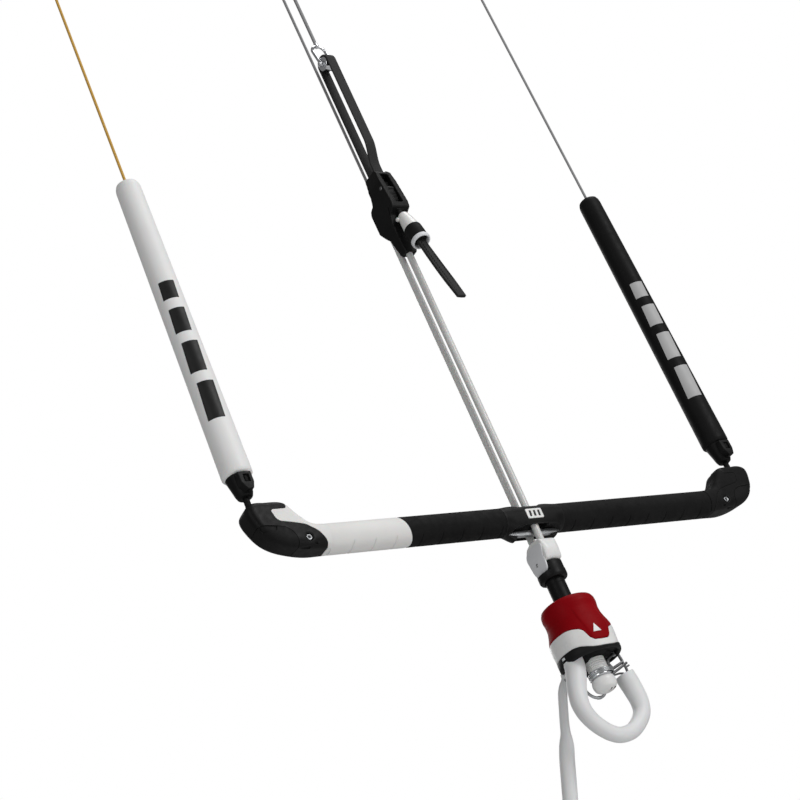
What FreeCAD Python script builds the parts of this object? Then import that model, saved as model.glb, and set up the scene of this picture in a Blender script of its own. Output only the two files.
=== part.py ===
"""Control bar of a kitesurf kite: bar, floats, depower tubes, trim cleat and quick release.

Lengths are millimetres.  +Z runs up the lines, +X along the bar and -Y is the front.
The origin is where the kite's own lines hook on, at the top of the centre line loops.
Heights in this file are measured from the bar's axis, which lies REACH below the origin.
"""
import FreeCAD, Part

import math
import os
import re

SIZES = [
    ("reach", 700.0, "bar axis to the top of the line loops"),
    ("half_span", 260.0, "bar centre to a steering line"),
    ("grip_dia", 25.2, "outside of the foam grips"),
    ("core_dia", 18.0, "aluminium core tube, outside"),
    ("core_bore", 14.0, "aluminium core tube, inside"),
    ("core_start", 26.0, "bar centre to the start of a core tube"),
    ("hub_half", 31.0, "half length of the centre hub"),
    ("grip_end", 205.0, "bar centre to the outer end of a grip"),
    ("white_start", 131.0, "bar centre to the start of the white grip"),
    ("tube_pitch", 11.8, "front tube to rear tube"),
    ("tube_dia", 6.4, "depower tube, outside"),
    ("tube_bore", 4.2, "depower tube, inside"),
    ("tube_low", -32.0, "lower end of both depower tubes"),
    ("slot_wide", 19.4, "hub slot, front to rear"),
    ("barrel_dia", 17.0, "sliding barrel in the hub"),
    ("trunnion_dia", 6.0, "barrel trunnions"),
    ("gap", 0.05, "running clearance on a radius"),
    ("front_dia", 3.4, "front line"),
    ("front_in", 9.5, "front line, in front of the bar axis"),
    ("safety_dia", 2.8, "safety line"),
    ("steer_dia", 2.6, "steering lines"),
    ("ring_mid", 13.5, "radius of a line loop to the middle of the line"),
    ("knot_dia", 7.6, "knot under a line loop"),
    ("float_low", 61.0, "lower end of a float"),
    ("float_high", 363.0, "upper end of a float"),
    ("float_top_dia", 22.0, "float diameter at its upper end"),
    ("float_low_dia", 25.7, "float diameter at its lower end"),
    ("line_pivot", 27.0, "height of the ball under a steering line"),
    ("roller_high", 516.0, "height of the shackle roller"),
    ("roller_in", 12.65, "shackle roller, in front of the bar axis"),
    ("roller_dia", 14.1, "shackle roller"),
    ("bow_rise", 19.0, "shackle roller up to the middle of the shackle's bow"),
    ("strap_wide", 10.8, "trim strap width"),
    ("strap_thick", 2.0, "trim strap thickness"),
    ("cleat_high", 376.0, "upper end of the trim cleat"),
    ("cam_high", 353.0, "height of the cleat cam pin"),
    ("cam_front", 18.4, "cleat cam pin, in front of the bar axis"),
    ("housing_wide", 15.0, "swivel housing between its side plates"),
    ("plate_thick", 2.0, "swivel side plate"),
    ("base_low", -136.0, "underside of the release base"),
    ("leg_in", 18.0, "hinged leg of the chicken loop, left of centre"),
    ("leg_dia", 17.6, "chicken loop at its upper ends"),
    ("spindle_dia", 6.0, "steel spindle in the hinged leg"),
    ("finger_back", 17.6, "finger pin behind the bar axis"),
    ("finger_pin", -141.0, "height of the finger pin"),
    ("ring_back", 13.0, "leash ring behind the bar axis"),
    ("ring_pin", -140.2, "height of the leash ring's upper wire"),
    ("tail_tilt", 12.3, "lean of the trim tail, in degrees"),
]

# Outlines in the bar's front plane, as distance out from the bar centre and height.
HORN = [(186, 12.4), (206, 12.2), (216, 12.7), (224.5, 18.6), (230, 26), (235, 32.5), (243, 34.6),
        (254, 34.6), (262.5, 33.8), (267.8, 29.5), (268.2, 22), (265, 13.5), (260, 5.5), (252, -1.2),
        (241.5, -5.8), (229, -9.2), (212, -10.9), (186, -11.2)]
HORN_COVER = [(300, 8.5), (262, 10.5), (250, 9.2), (243, 7.8), (238, 4), (235.4, -2), (235.4, -30),
              (300, -30)]
HORN_SADDLE = [(190, 60), (190, -30), (207, -30), (207.6, -10.5), (212, -8), (213.3, -4), (216, 3),
               (224, 8.5), (235, 11.2), (246, 13.3), (248.8, 16), (251, 24.2), (236, 24.2), (234, 60)]
# Side outlines of the strap below the roller: its front run bends in to the cleat.
STRAP_FRONT = [(-21.8, 516), (-21.8, 404), (-15.5, 381), (-15.5, 370), (-13.5, 370), (-13.5, 381),
               (-19.8, 404), (-19.8, 516)]
STRAP_REAR = [(-5.5, 516), (-5.5, 370), (-3.5, 370), (-3.5, 516)]
# Outlines of the cleat: side view as depth and height, front view as width and height.
CLEAT_SIDE = [(-10.6, 285), (-1.4, 285), (0.8, 305), (5.5, 312), (9.6, 320), (9.8, 342), (8, 346),
              (2.6, 348.5), (0.4, 356), (-0.6, 376), (-17, 376), (-19.8, 372), (-24.2, 334), (-23.2, 328),
              (-15.4, 325), (-12.6, 316)]
CLEAT_FRONT = [(-6.4, 285), (6.4, 285), (8.6, 300), (9.8, 318), (9.8, 362), (8.2, 376),
               (-8.2, 376), (-9.8, 362), (-9.8, 318), (-8.6, 300)]
PLATE_SIDE = [(-12.8, -29.4), (-8.4, -27), (6, -27), (10, -28.6), (12.4, -32.8),
              (11.9, -46.5), (8.6, -52), (-5.8, -51.4), (-8.8, -46.1), (-11.2, -36)]
# Middle line of the chicken loop, as distance right and height, with its diameter there.
LOOP = [(-18, -129.3, 17.1), (-18, -133.3, 17.1), (-18.05, -137.6, 17.1), (-18.9, -142, 17.1),
        (-22.7, -148.4, 16.8), (-25.9, -154.6, 16.3), (-28.4, -161.5, 15.7), (-30.2, -169, 14.9),
        (-29.7, -177, 14.1), (-26.1, -185.1, 13.5), (-20.6, -192.1, 13.3), (-13.1, -198.1, 13.1),
        (-3.9, -201.3, 13), (8.3, -199.8, 13.1), (18.9, -193.8, 13.5), (26.9, -185.7, 14.2),
        (29.6, -176.1, 15.2), (29.3, -166.9, 16.2), (28.1, -157.8, 17), (27, -151.3, 17.1)]
# Middle line of the finger, as right, back and height, with its diameter there.
FINGER = [(-14.8, 17.6, -141, 6), (-15.5, 18.6, -145, 6.2), (-18.6, 20.8, -149.2, 7.2),
          (-22.6, 23.4, -154.6, 7.7), (-25.9, 26, -162, 7.8), (-28.8, 28.2, -171.5, 7.8),
          (-30.3, 30, -179, 8.3), (-31.9, 31.3, -185.4, 10.6), (-33.8, 32.8, -191.5, 12.3),
          (-36.3, 35.5, -201.3, 12.6), (-41.7, 44, -228.4, 12.6), (-46.2, 50.8, -250.5, 12.1),
          (-46.9, 51.8, -254.6, 10.4), (-47.3, 52.5, -257, 6.4)]
# Corners of the wire bail on the loop's free end.
BAIL = [(16.5, -137.9), (28.6, -137.9), (32.4, -145.2), (27.4, -154), (16.6, -146)]
BAIL_WIRE = 2.2

doc = FreeCAD.newDocument("kite_control_bar")
sheet = doc.addObject("Spreadsheet::Sheet", "dims")
for row, (alias, value, note) in enumerate(SIZES, start=1):
    sheet.set("A%d" % row, alias)
    sheet.set("B%d" % row, str(value))
    sheet.setAlias("B%d" % row, alias)
    sheet.set("C%d" % row, note)
doc.recompute()

ALIASES = {alias for alias, value, note in SIZES}
DIM = {alias: value for alias, value, note in SIZES}
UP = FreeCAD.Vector(0, 0, 1)
TURN = {
    "z": FreeCAD.Rotation(),
    "down": FreeCAD.Rotation(FreeCAD.Vector(1, 0, 0), 180),
    "x": FreeCAD.Rotation(FreeCAD.Vector(0, 1, 0), 90),
    "-x": FreeCAD.Rotation(FreeCAD.Vector(0, 1, 0), -90),
    "y": FreeCAD.Rotation(FreeCAD.Vector(1, 0, 0), -90),
    "-y": FreeCAD.Rotation(FreeCAD.Vector(1, 0, 0), 90),
    "tail": FreeCAD.Rotation(FreeCAD.Vector(1, 0, 0), 180 - DIM["tail_tilt"]),
    "side": FreeCAD.Rotation(FreeCAD.Vector(1, 1, 1), 120),
}
nodes = []


def bound(expression):
    """Write the sheet's name before each of its aliases in an expression."""
    return re.sub(r"[a-z_]+", lambda m: "dims." + m.group() if m.group() in ALIASES else m.group(),
                  str(expression))


def place(obj, at, axis="z"):
    """Turn an object and bind its place to the sheet; heights count from the bar's axis."""
    obj.Placement = FreeCAD.Placement(FreeCAD.Vector(), TURN[axis])
    obj.setExpression("Placement.Base.x", bound(at[0]))
    obj.setExpression("Placement.Base.y", bound(at[1]))
    obj.setExpression("Placement.Base.z", bound("(%s) - reach" % at[2]))
    return obj


def primitive(kind, name, at, axis, **sizes):
    obj = doc.addObject("Part::" + kind, name)
    for prop, expression in sizes.items():
        obj.setExpression(prop, bound(expression))
    return place(obj, at, axis)


def cylinder(name, radius, height, at, axis="z"):
    return primitive("Cylinder", name, at, axis, Radius=radius, Height=height)


def cone(name, low, high, height, at, axis="z"):
    return primitive("Cone", name, at, axis, Radius1=low, Radius2=high, Height=height)


def sphere(name, radius, at):
    return primitive("Sphere", name, at, "z", Radius=radius)


def torus(name, ring, wire, at, axis="y"):
    return primitive("Torus", name, at, axis, Radius1=ring, Radius2=wire)


def block(name, sizes, at, axis="z"):
    """A box given by its lowest corner, or along a turned axis by its own corner."""
    return primitive("Box", name, at, axis, Length=sizes[0], Width=sizes[1], Height=sizes[2])


def cut(name, base, *tools):
    tool = tools[0] if len(tools) == 1 else fuse(name + "_tools", *tools)
    obj = doc.addObject("Part::Cut", name)
    obj.Base = base
    obj.Tool = tool
    return obj


def fuse(name, *pieces):
    obj = doc.addObject("Part::MultiFuse", name)
    obj.Shapes = list(pieces)
    return obj


def common(name, *pieces):
    obj = doc.addObject("Part::MultiCommon", name)
    obj.Shapes = list(pieces)
    return obj


def group(name, *pieces):
    obj = doc.addObject("Part::Compound", name)
    obj.Links = list(pieces)
    return obj


def prism(name, corners, depth, at, axis):
    """Extrude a closed outline both ways from its plane."""
    wire = doc.addObject("Part::Polygon", name + "_outline")
    wire.Nodes = [FreeCAD.Vector(u, v, 0) for u, v in corners]
    wire.Close = True
    solid = doc.addObject("Part::Extrusion", name)
    solid.Base = wire
    solid.DirMode = "Custom"
    solid.Dir = TURN[axis].multVec(UP)
    solid.Solid = True
    solid.Symmetric = True
    solid.setExpression("LengthFwd", bound(depth))
    place(wire, at, axis)
    return solid


def turned(name, profile, at=("0", "0", "0"), axis="z"):
    """Revolve a closed profile of (radius, height) corners about the axis through its place."""
    wire = doc.addObject("Part::Polygon", name + "_profile")
    wire.Nodes = [FreeCAD.Vector(radius, 0, height) for radius, height in profile]
    wire.Close = True
    solid = doc.addObject("Part::Revolution", name)
    solid.Source = wire
    solid.Axis = TURN[axis].multVec(UP)
    solid.Angle = 360
    solid.Solid = True
    place(wire, at, axis)
    for prop, value in zip("xyz", at):
        shift = "(%s) - reach" % value if prop == "z" else value
        solid.setExpression("Base." + prop, bound(shift))
    return solid


def made(name, shape, at=("0", "0", "0")):
    """Hold a shape that no primitive fits, then put it in its place."""
    obj = doc.addObject("Part::Feature", name)
    obj.Shape = shape
    return place(obj, at)


def keep(obj, label=None):
    """List an object as a finished sub-part."""
    obj.Label = label or obj.Name
    nodes.append(obj)
    return obj


def lofted(stations):
    """A solid through circles set square to the curve that joins their centres."""
    centres = [FreeCAD.Vector(x, y, z) for x, y, z, dia in stations]
    curve = Part.BSplineCurve()
    curve.interpolate(centres)
    rings = []
    for centre, station in zip(centres, stations):
        along = curve.tangent(curve.parameter(centre))[0]
        rings.append(Part.Wire(Part.makeCircle(station[3] / 2, centre, along)))
    return Part.makeLoft(rings, True)


def wire_link(corners, wire_dia):
    """A closed link of round wire in the front plane, with round corners."""
    shape = None
    for (xa, za), (xb, zb) in zip(corners, corners[1:] + corners[:1]):
        start = FreeCAD.Vector(xa, 0, za)
        along = FreeCAD.Vector(xb, 0, zb) - start
        rod = Part.makeCylinder(wire_dia / 2, along.Length, start, along)
        ball = Part.makeSphere(wire_dia / 2, start)
        shape = rod.fuse(ball) if shape is None else shape.fuse([rod, ball])
    return shape.removeSplitter()


# ---------------------------------------------------------------- lines to the kite

def line(name, x, y, wire, start):
    """A taut line from a height up to its knot and the loop where the kite's own line hooks on."""
    ring = torus(name + "_ring", "ring_mid", "%s / 2" % wire,
                 (x, y, "reach - ring_mid - %s / 2" % wire))
    knot_low = "reach - 2 * ring_mid - %s - 5" % wire
    knot = cylinder(name + "_knot", "knot_dia / 2", 8, (x, y, knot_low))
    run = cylinder(name + "_run", "%s / 2" % wire, "%s - (%s)" % (knot_low, start), (x, y, start))
    return keep(fuse(name, ring, knot, run))


def kite_lines():
    """Front line, safety line and the shackle that hangs from the front line."""
    line("front_line", "0", "-front_in", "front_dia", "roller_high + bow_rise + 8.8")
    line("safety_line", "0", "tube_pitch / 2", "safety_dia", "120")

    bow = torus("shackle_bow", "7.4", "1.5", ("0", "-front_in", "roller_high + bow_rise"), "-y")
    bow.Angle3 = 180
    foot = FreeCAD.Vector(0, -DIM["roller_in"], DIM["roller_high"])
    top = FreeCAD.Vector(0, -DIM["front_in"], DIM["roller_high"] + DIM["bow_rise"])
    legs = []
    for side, x in (("left", -7.4), ("right", 7.4)):
        start = foot + FreeCAD.Vector(x, 0, 0)
        rod = Part.makeCylinder(1.5, (top - foot).Length, start, top - foot)
        legs.append(made("shackle_leg_" + side, rod.fuse(Part.makeSphere(1.5, start + top - foot))))
    pin = cylinder("shackle_cross_pin", "1.3", "19.4", ("-9.7", "-roller_in", "roller_high"), "x")
    ears = [cylinder("shackle_ear_" + side, "2.6", "3.6", (x, "-roller_in", "roller_high"), "x")
            for side, x in (("left", "-9.2"), ("right", "5.6"))]
    keep(fuse("trim_shackle", bow, *legs, pin, *ears))
    wheel = ("-5.5", "-roller_in", "roller_high")
    keep(cut("shackle_roller", cylinder("roller_outside", "roller_dia / 2", "11", wheel, "x"),
             cylinder("roller_hole", "1.3 + gap", "11", wheel, "x")))


def trim_strap():
    """Doubled webbing over the shackle roller, down into the cleat."""
    inner = "roller_dia / 2 + 0.1"
    outer = inner + " + strap_thick"
    over = cylinder("strap_bend_outside", outer, "strap_wide",
                    ("-strap_wide / 2", "-roller_in", "roller_high"), "x")
    hollow = cylinder("strap_bend_inside", inner, "strap_wide",
                      ("-strap_wide / 2", "-roller_in", "roller_high"), "x")
    lower = block("strap_bend_lower", ("strap_wide", "2 * (%s)" % outer, outer),
                  ("-strap_wide / 2", "-roller_in - (%s)" % outer, "roller_high - (%s)" % outer))
    bend = cut("strap_bend", over, hollow, lower)
    runs = [prism("strap_" + name, outline, "strap_wide", ("0", "0", "0"), "side")
            for name, outline in (("front", STRAP_FRONT), ("rear", STRAP_REAR))]
    keep(fuse("trim_strap", bend, *runs))


# ---------------------------------------------------------------- cleat and tubes

def cleat():
    """Trim cleat: moulded body, toothed cam and its pin."""
    side = prism("cleat_side", CLEAT_SIDE, "30", ("0", "0", "0"), "side")
    front = prism("cleat_front", CLEAT_FRONT, "60", ("0", "0", "0"), "-y")
    block_body = common("cleat_block", side, front)
    slots = [block("cleat_strap_slot_" + which, ("strap_wide + 0.8", "strap_thick + 0.8", "12"),
                   ("-strap_wide / 2 - 0.4", y, "cleat_high - 11"))
             for which, y in (("front", "-15.9"), ("rear", "-5.9"))]
    window = block("cleat_window", ("8.4", "10.6", "37"), ("-4.2", "-26", "333"))
    near = cylinder("cleat_front_socket", "tube_dia / 2", "36", ("0", "-tube_pitch / 2", "284"))
    far = cylinder("cleat_rear_socket", "tube_dia / 2", "46", ("0", "tube_pitch / 2", "294"))
    line = cylinder("cleat_line_hole", "safety_dia / 2 + 0.5", "40", ("0", "tube_pitch / 2", "339"))
    pin_hole = cylinder("cleat_pin_hole", "1", "24", ("-12", "-cam_front", "cam_high"), "x")
    exit_hole = cylinder("cleat_cord_hole", "2.5", "12", ("0", "-15.95", "336.7"), "tail")
    keep(cut("cleat_body", block_body, *slots, window, near, far, line, pin_hole, exit_hole))
    keep(cylinder("cleat_pin", "1", "19", ("-9.5", "-cam_front", "cam_high"), "x"))

    drum = cylinder("cam_drum", "2.25", "7.6", ("-3.8", "-cam_front", "cam_high"), "x")
    lever = block("cam_lever", ("7.6", "3", "16"), ("-3.8", "-cam_front - 1.7", "cam_high - 16"))
    bore = cylinder("cam_bore", "1 + gap", "8", ("-4", "-cam_front", "cam_high"), "x")
    keep(cut("cleat_cam", fuse("cam_solid", drum, lever), bore))


def depower_tubes():
    """Front tube with the load line in it, and rear tube for the safety line."""
    tubes = (("front_tube", "-tube_pitch / 2", "320"), ("rear_tube", "tube_pitch / 2", "340"))
    for name, y, top in tubes:
        height = "%s - (tube_low)" % top
        keep(cut(name,
                 cylinder(name + "_outside", "tube_dia / 2", height, ("0", y, "tube_low")),
                 cylinder(name + "_inside", "tube_bore / 2", height, ("0", y, "tube_low"))))
    keep(cylinder("load_line", "1.9", "350", ("0", "-tube_pitch / 2", "tube_low")))


def tail():
    """Pull on the end of the trim cord: cone, sleeve, ring and webbing tab on one slanted axis."""
    tilt = math.radians(DIM["tail_tilt"])

    def along(distance):
        return ("0", str(-18.5 - distance * math.sin(tilt)), str(325 - distance * math.cos(tilt)))

    keep(cylinder("trim_cord", "2", "12.8", along(-8), "tail"))
    keep(cone("tail_cone", "4.5", "7.9", "20.5", along(4.8), "tail"))
    keep(cylinder("tail_sleeve", "8.5", "15", along(25.3), "tail"))
    offset = 40.3
    keep(cut("tail_ring", cylinder("tail_ring_outside", "8.9", "3.6", along(offset), "tail"),
             cylinder("tail_ring_inside", "6.6", "3.6", along(offset), "tail")))
    corner = ("-5.5", str(-18.5 - offset * math.sin(tilt) + 1.5 * math.cos(tilt)),
              str(325 - offset * math.cos(tilt) - 1.5 * math.sin(tilt)))
    keep(block("tail_tab", ("11", "3", "82"), corner, "tail"))


# ---------------------------------------------------------------- bar

def slider():
    """Barrel that slides on both tubes and carries the bar on its trunnions."""
    drum = cylinder("barrel_drum", "barrel_dia / 2", "slot_wide - 0.4",
                    ("0", "-slot_wide / 2 + 0.2", "0"), "y")
    pins = cylinder("barrel_trunnions", "trunnion_dia / 2", "22.6", ("0", "-11.3", "0"), "y")
    holes = [cylinder("barrel_hole_" + which, "tube_dia / 2 + gap", "20", ("0", y, "-10"))
             for which, y in (("front", "-tube_pitch / 2"), ("rear", "tube_pitch / 2"))]
    keep(cut("slider_barrel", fuse("barrel_solid", drum, pins), *holes))


def hub():
    """Centre moulding with its flared slot, wear bar between the tubes and badge."""
    sleeve = cylinder("hub_sleeve", "grip_dia / 2", "2 * hub_half", ("-hub_half", "0", "0"), "x")
    swell = turned("hub_swell", [(0, -29.5), (9.6, -29.5), (12, -24), (14.6, -15), (15.6, -4),
                                 (15.6, 4), (14.6, 15), (12, 24), (9.6, 29.5), (0, 29.5)],
                   ("0", "0", "-3"), "x")
    flat = block("hub_flats", ("80", "27", "60"), ("-40", "-13.5", "-30"))
    body = fuse("hub_body", sleeve, common("hub_swell_cut", swell, flat))
    flare = prism("hub_flare", [(-25, -24), (25, -24), (10, -6), (10, 6), (24, 22), (-24, 22), (-10, 6),
                                (-10, -6)], "slot_wide", ("0", "0", "0"), "-y")
    bore = cylinder("hub_bore", "trunnion_dia / 2 + gap", "25.4", ("0", "-12.7", "0"), "y")
    ends = [cylinder("hub_end_bore_" + side, "core_dia / 2", "hub_half - core_start + 0.1",
                     (x, "0", "0"), axis)
            for side, x, axis in (("left", "-core_start", "-x"), ("right", "core_start", "x"))]
    recess = block("hub_badge_recess", ("17", "3", "9.6"), ("-8.5", "-14.5", "-4.8"))
    steel = block("hub_wear_slots", ("56", "3", "3.4"), ("-28", "-1.5", "-14.2"))
    keep(cut("centre_hub", body, flare, bore, *ends, recess, steel))
    bar = block("wear_bar_solid", ("55", "3", "3.4"), ("-27.5", "-1.5", "-14.2"))
    keep(common("wear_bar", bar, cylinder("wear_bar_round", "30", "6", ("0", "-3", "-12.5"), "y")))
    keep(block("hub_badge", ("17", "1.5", "9.6"), ("-8.5", "-13", "-4.8")))


def grips():
    """Core tubes and the foam grips on them."""
    for side, x, axis in (("left", "-core_start", "-x"), ("right", "core_start", "x")):
        name = side + "_core_tube"
        length = "grip_end - core_start"
        keep(cut(name, cylinder(name + "_outside", "core_dia / 2", length, (x, "0", "0"), axis),
                 cylinder(name + "_inside", "core_bore / 2", length, (x, "0", "0"), axis)))
    spans = (("left_black_grip", "-white_start", "white_start - hub_half"),
             ("left_white_grip", "-grip_end", "grip_end - white_start"),
             ("right_black_grip", "hub_half", "grip_end - hub_half"))
    for name, x, length in spans:
        keep(cut(name, cylinder(name + "_outside", "grip_dia / 2", length, (x, "0", "0"), "x"),
                 cylinder(name + "_inside", "core_dia / 2", length, (x, "0", "0"), "x")))


def horn_solid():
    """One horn of the bar: a rounded solid on the horn outline, flat where the grip ends."""
    points = [FreeCAD.Vector(x, 0, z) for x, z in HORN]
    curve = Part.BSplineCurve()
    curve.interpolate(points)
    closing = Part.LineSegment(points[-1], points[0])
    face = Part.Face(Part.Wire([curve.toShape(), closing.toShape()]))
    half_depth = DIM["grip_dia"] / 2
    face.translate(FreeCAD.Vector(0, -half_depth, 0))
    solid = face.extrude(FreeCAD.Vector(0, 2 * half_depth, 0))
    edges = [edge for edge in solid.Edges
             if abs(edge.BoundBox.YLength) < 0.01 and edge.BoundBox.XLength > 50]
    solid = solid.makeFillet(6.5, edges)
    beyond = Part.makeBox(100, 60, 120, FreeCAD.Vector(DIM["grip_end"] - 100, -30, -60))
    return solid.cut(beyond)


def region(corners):
    points = [FreeCAD.Vector(x, -30, z) for x, z in corners]
    face = Part.Face(Part.makePolygon(points + points[:1]))
    return face.extrude(FreeCAD.Vector(0, 60, 0))


def horn(side, sign):
    """Horn of one end: shell, lower cover, saddle over the grip's end and two screws."""
    solid = horn_solid()
    pivot = FreeCAD.Vector(DIM["half_span"], 0, DIM["line_pivot"])
    socket = Part.makeCylinder(3.5, 6.4, pivot - FreeCAD.Vector(0, 3.2, 0), FreeCAD.Vector(0, 1, 0))
    mouth = Part.makeCone(3.2, 6.8, 8, pivot, UP)
    solid = solid.cut([socket, mouth])
    cover = solid.common(region(HORN_COVER))
    saddle = solid.common(region(HORN_SADDLE))
    shell = solid.cut([region(HORN_COVER), region(HORN_SADDLE)])
    plug = Part.makeCylinder(DIM["core_bore"] / 2, 36, FreeCAD.Vector(DIM["grip_end"] - 25, 0, 0),
                             FreeCAD.Vector(1, 0, 0))
    saddle = saddle.cut(plug)
    screws = []
    for face_sign in (-1, 1):
        start = FreeCAD.Vector(225, face_sign * 13.0, -2.7)
        inward = FreeCAD.Vector(0, -face_sign, 0)
        head = Part.makeCylinder(2.9, 7, start, inward)
        socket_hole = Part.makeCylinder(1.5, 2.4, start, inward)
        screws.append((head, head.cut(socket_hole)))
    shell = shell.fuse(plug).cut([tool for tool, screw in screws])
    pieces = {"_end_shell": shell, "_end_cover": cover, "_end_saddle": saddle}
    for suffix, shape in pieces.items():
        keep(made(side + suffix, mirrored(shape, sign)))
    return [mirrored(screw, sign) for tool, screw in screws]


def mirrored(shape, sign):
    if sign > 0:
        return shape
    return shape.mirror(FreeCAD.Vector(), FreeCAD.Vector(1, 0, 0))


def steering_line(side, sign):
    """Leader, plug, float and line that rise from one end of the bar."""
    x = "half_span" if sign > 0 else "-half_span"
    pivot = cylinder(side + "_leader_drum", "3.45", "6", (x, "-3", "line_pivot"), "y")
    stem = cylinder(side + "_leader_stem", "2.4", "42 - line_pivot", (x, "0", "line_pivot"))
    keep(fuse(side + "_leader", pivot, stem))
    taper_plug = turned(side + "_plug_cone", [(0, 42), (4.6, 42), (6.3, 43.2), (10.6, 61), (0, 61)],
                        (x, "0", "0"))
    clip = block(side + "_plug_clip", ("9.4", "6.8", "12"), (x + " - 4.7", "-12.8", "48.5"))
    keep(fuse(side + "_plug", taper_plug, clip))
    low = "float_low_dia / 2"
    high = "float_top_dia / 2"
    taper = cone(side + "_float_taper", low, high, "float_high - float_low - 9", (x, "0", "float_low + 4"))
    foot = cone(side + "_float_foot", "float_low_dia / 2 - 2.2", low, "4", (x, "0", "float_low"))
    head = cone(side + "_float_head", high, "float_top_dia / 2 - 3.4", "5", (x, "0", "float_high - 5"))
    hole = cylinder(side + "_float_hole", "steer_dia / 2", "float_high - float_low + 2",
                    (x, "0", "float_low - 1"))
    keep(cut(side + "_float", fuse(side + "_float_solid", foot, taper, head), hole))
    line(side + "_steering_line", x, "0", "steer_dia", "float_low")


# ---------------------------------------------------------------- swivel and quick release

def swivel():
    """Housing that clamps both tubes, its side plates, and the black swivel body under it."""
    half = "housing_wide / 2"
    blank = block("housing_blank", ("housing_wide", "28", "25.5"), ("-" + half, "-15", "-50"))
    rounded = doc.addObject("Part::Fillet", "housing_round")
    rounded.Base = blank
    doc.recompute()
    rounded.Edges = [(index + 1, 8, 8) for index, edge in enumerate(blank.Shape.Edges)
                     if edge.BoundBox.XLength > 10 and edge.BoundBox.ZMin > -DIM["reach"] - 30]
    sockets = [cylinder("housing_socket_" + which, "tube_dia / 2", "20", ("0", y, "tube_low"))
               for which, y in (("front", "-tube_pitch / 2"), ("rear", "tube_pitch / 2"))]
    screw_hole = cylinder("housing_screw_hole", "2", "24", ("-12", "2.7", "-41.5"), "x")
    keep(cut("swivel_housing", rounded, *sockets, screw_hole))
    plates = []
    for side, x in (("left", "-%s - plate_thick / 2" % half), ("right", half + " + plate_thick / 2")):
        plate = prism(side + "_plate_blank", PLATE_SIDE, "plate_thick", (x, "0", "0"), "side")
        hole = cylinder(side + "_plate_hole", "2", "24", ("-12", "2.7", "-41.5"), "x")
        plates.append(cut(side + "_swivel_plate", plate, hole))
    keep(group("swivel_plates", *plates))
    keep(cylinder("housing_screw", "2", "housing_wide + 2 * plate_thick - 0.6",
                  ("-%s - plate_thick + 0.3" % half, "2.7", "-41.5"), "x"))
    body = turned("swivel_body_blank",
                  [(0, -50), (12.4, -50), (12.9, -53), (12.9, -58), (10.6, -61.5), (0, -61.5)])
    cavity = turned("swivel_cavity",
                    [(0, -54.8), (10.1, -54.8), (10.1, -58.2), (8.35, -58.2), (8.35, -62.5), (0, -62.5)])
    cheeks = [block("swivel_cheek_" + side, ("8", "34", "3.2"), (x, "-17", "-53.2"))
              for side, x in (("left", "-%s - 8" % half), ("right", half))]
    keep(cut("swivel_body", body, cavity, *cheeks))
    keep(turned("swivel_shaft", [(0, -55), (10, -55), (10, -58), (8.3, -58), (8.3, -91.6), (16.4, -91.6),
                                 (16.4, -95), (7.4, -95), (7.4, -136), (0, -136)]))


def release_base():
    """Base of the quick release with the loop socket, lugs, hub stub, washer and cap."""
    disc = turned("base_disc", [(7.4, -125.3), (26.4, -125.3), (27.5, -126.6), (27.5, -133.4), (25.6, -136),
                                (7.4, -136)])
    finger_lugs = [block("finger_lug_" + side, ("1.5", "4.4", "9.2"), (x, "finger_back - 2.2", "-143"))
                   for side, x in (("left", "-19.8"), ("right", "-11.3"))]
    ring_lug = block("ring_lug", ("4.4", "5.4", "7.8"), ("1", "ring_back - 2.7", "-143.7"))
    solid = fuse("base_solid", disc, *finger_lugs, ring_lug)
    socket = cylinder("loop_socket", "leg_dia / 2 + 0.2", "8", ("-leg_in", "0", "base_low - 0.2"))
    spindle = cylinder("spindle_hole", "spindle_dia / 2 + gap", "12", ("-leg_in", "0", "-136.5"))
    pin = cylinder("finger_pin_hole", "1.2", "12", ("-21", "finger_back", "finger_pin"), "x")
    eye = cylinder("ring_eye", "1.7", "6", ("0", "ring_back", "ring_pin"), "x")
    latch = [cylinder("latch_hole_" + side, "1.5 + gap", "12", ("21", y, "-136.5"))
             for side, y in (("front", "-5"), ("rear", "5"))]
    keep(cut("release_base", solid, socket, spindle, pin, eye, *latch))
    keep(cylinder("finger_hinge_pin", "1.2", "9.6", ("-19.6", "finger_back", "finger_pin"), "x"))
    keep(turned("leash_stub", [(0, -136), (8.5, -136), (8.5, -138.6), (7.9, -139.2), (8.5, -139.8),
                               (8.5, -142.2), (7.9, -142.8), (8.3, -143.4), (8.3, -146.4), (0, -146.4)],
                ("0", "-3", "0")))
    keep(turned("stub_washer", [(0, -146.4), (9.3, -146.4), (9.9, -147.4), (9.3, -148.6), (6, -150.4),
                                (0, -150.4)], ("0", "-3", "0")))
    keep(turned("stub_cap", [(0, -150.4), (8.4, -150.4), (10.4, -152.6), (10.9, -156), (9.9, -160),
                             (7, -163.6), (3, -165.6), (0, -166)], ("0", "-3", "0")))


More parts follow.
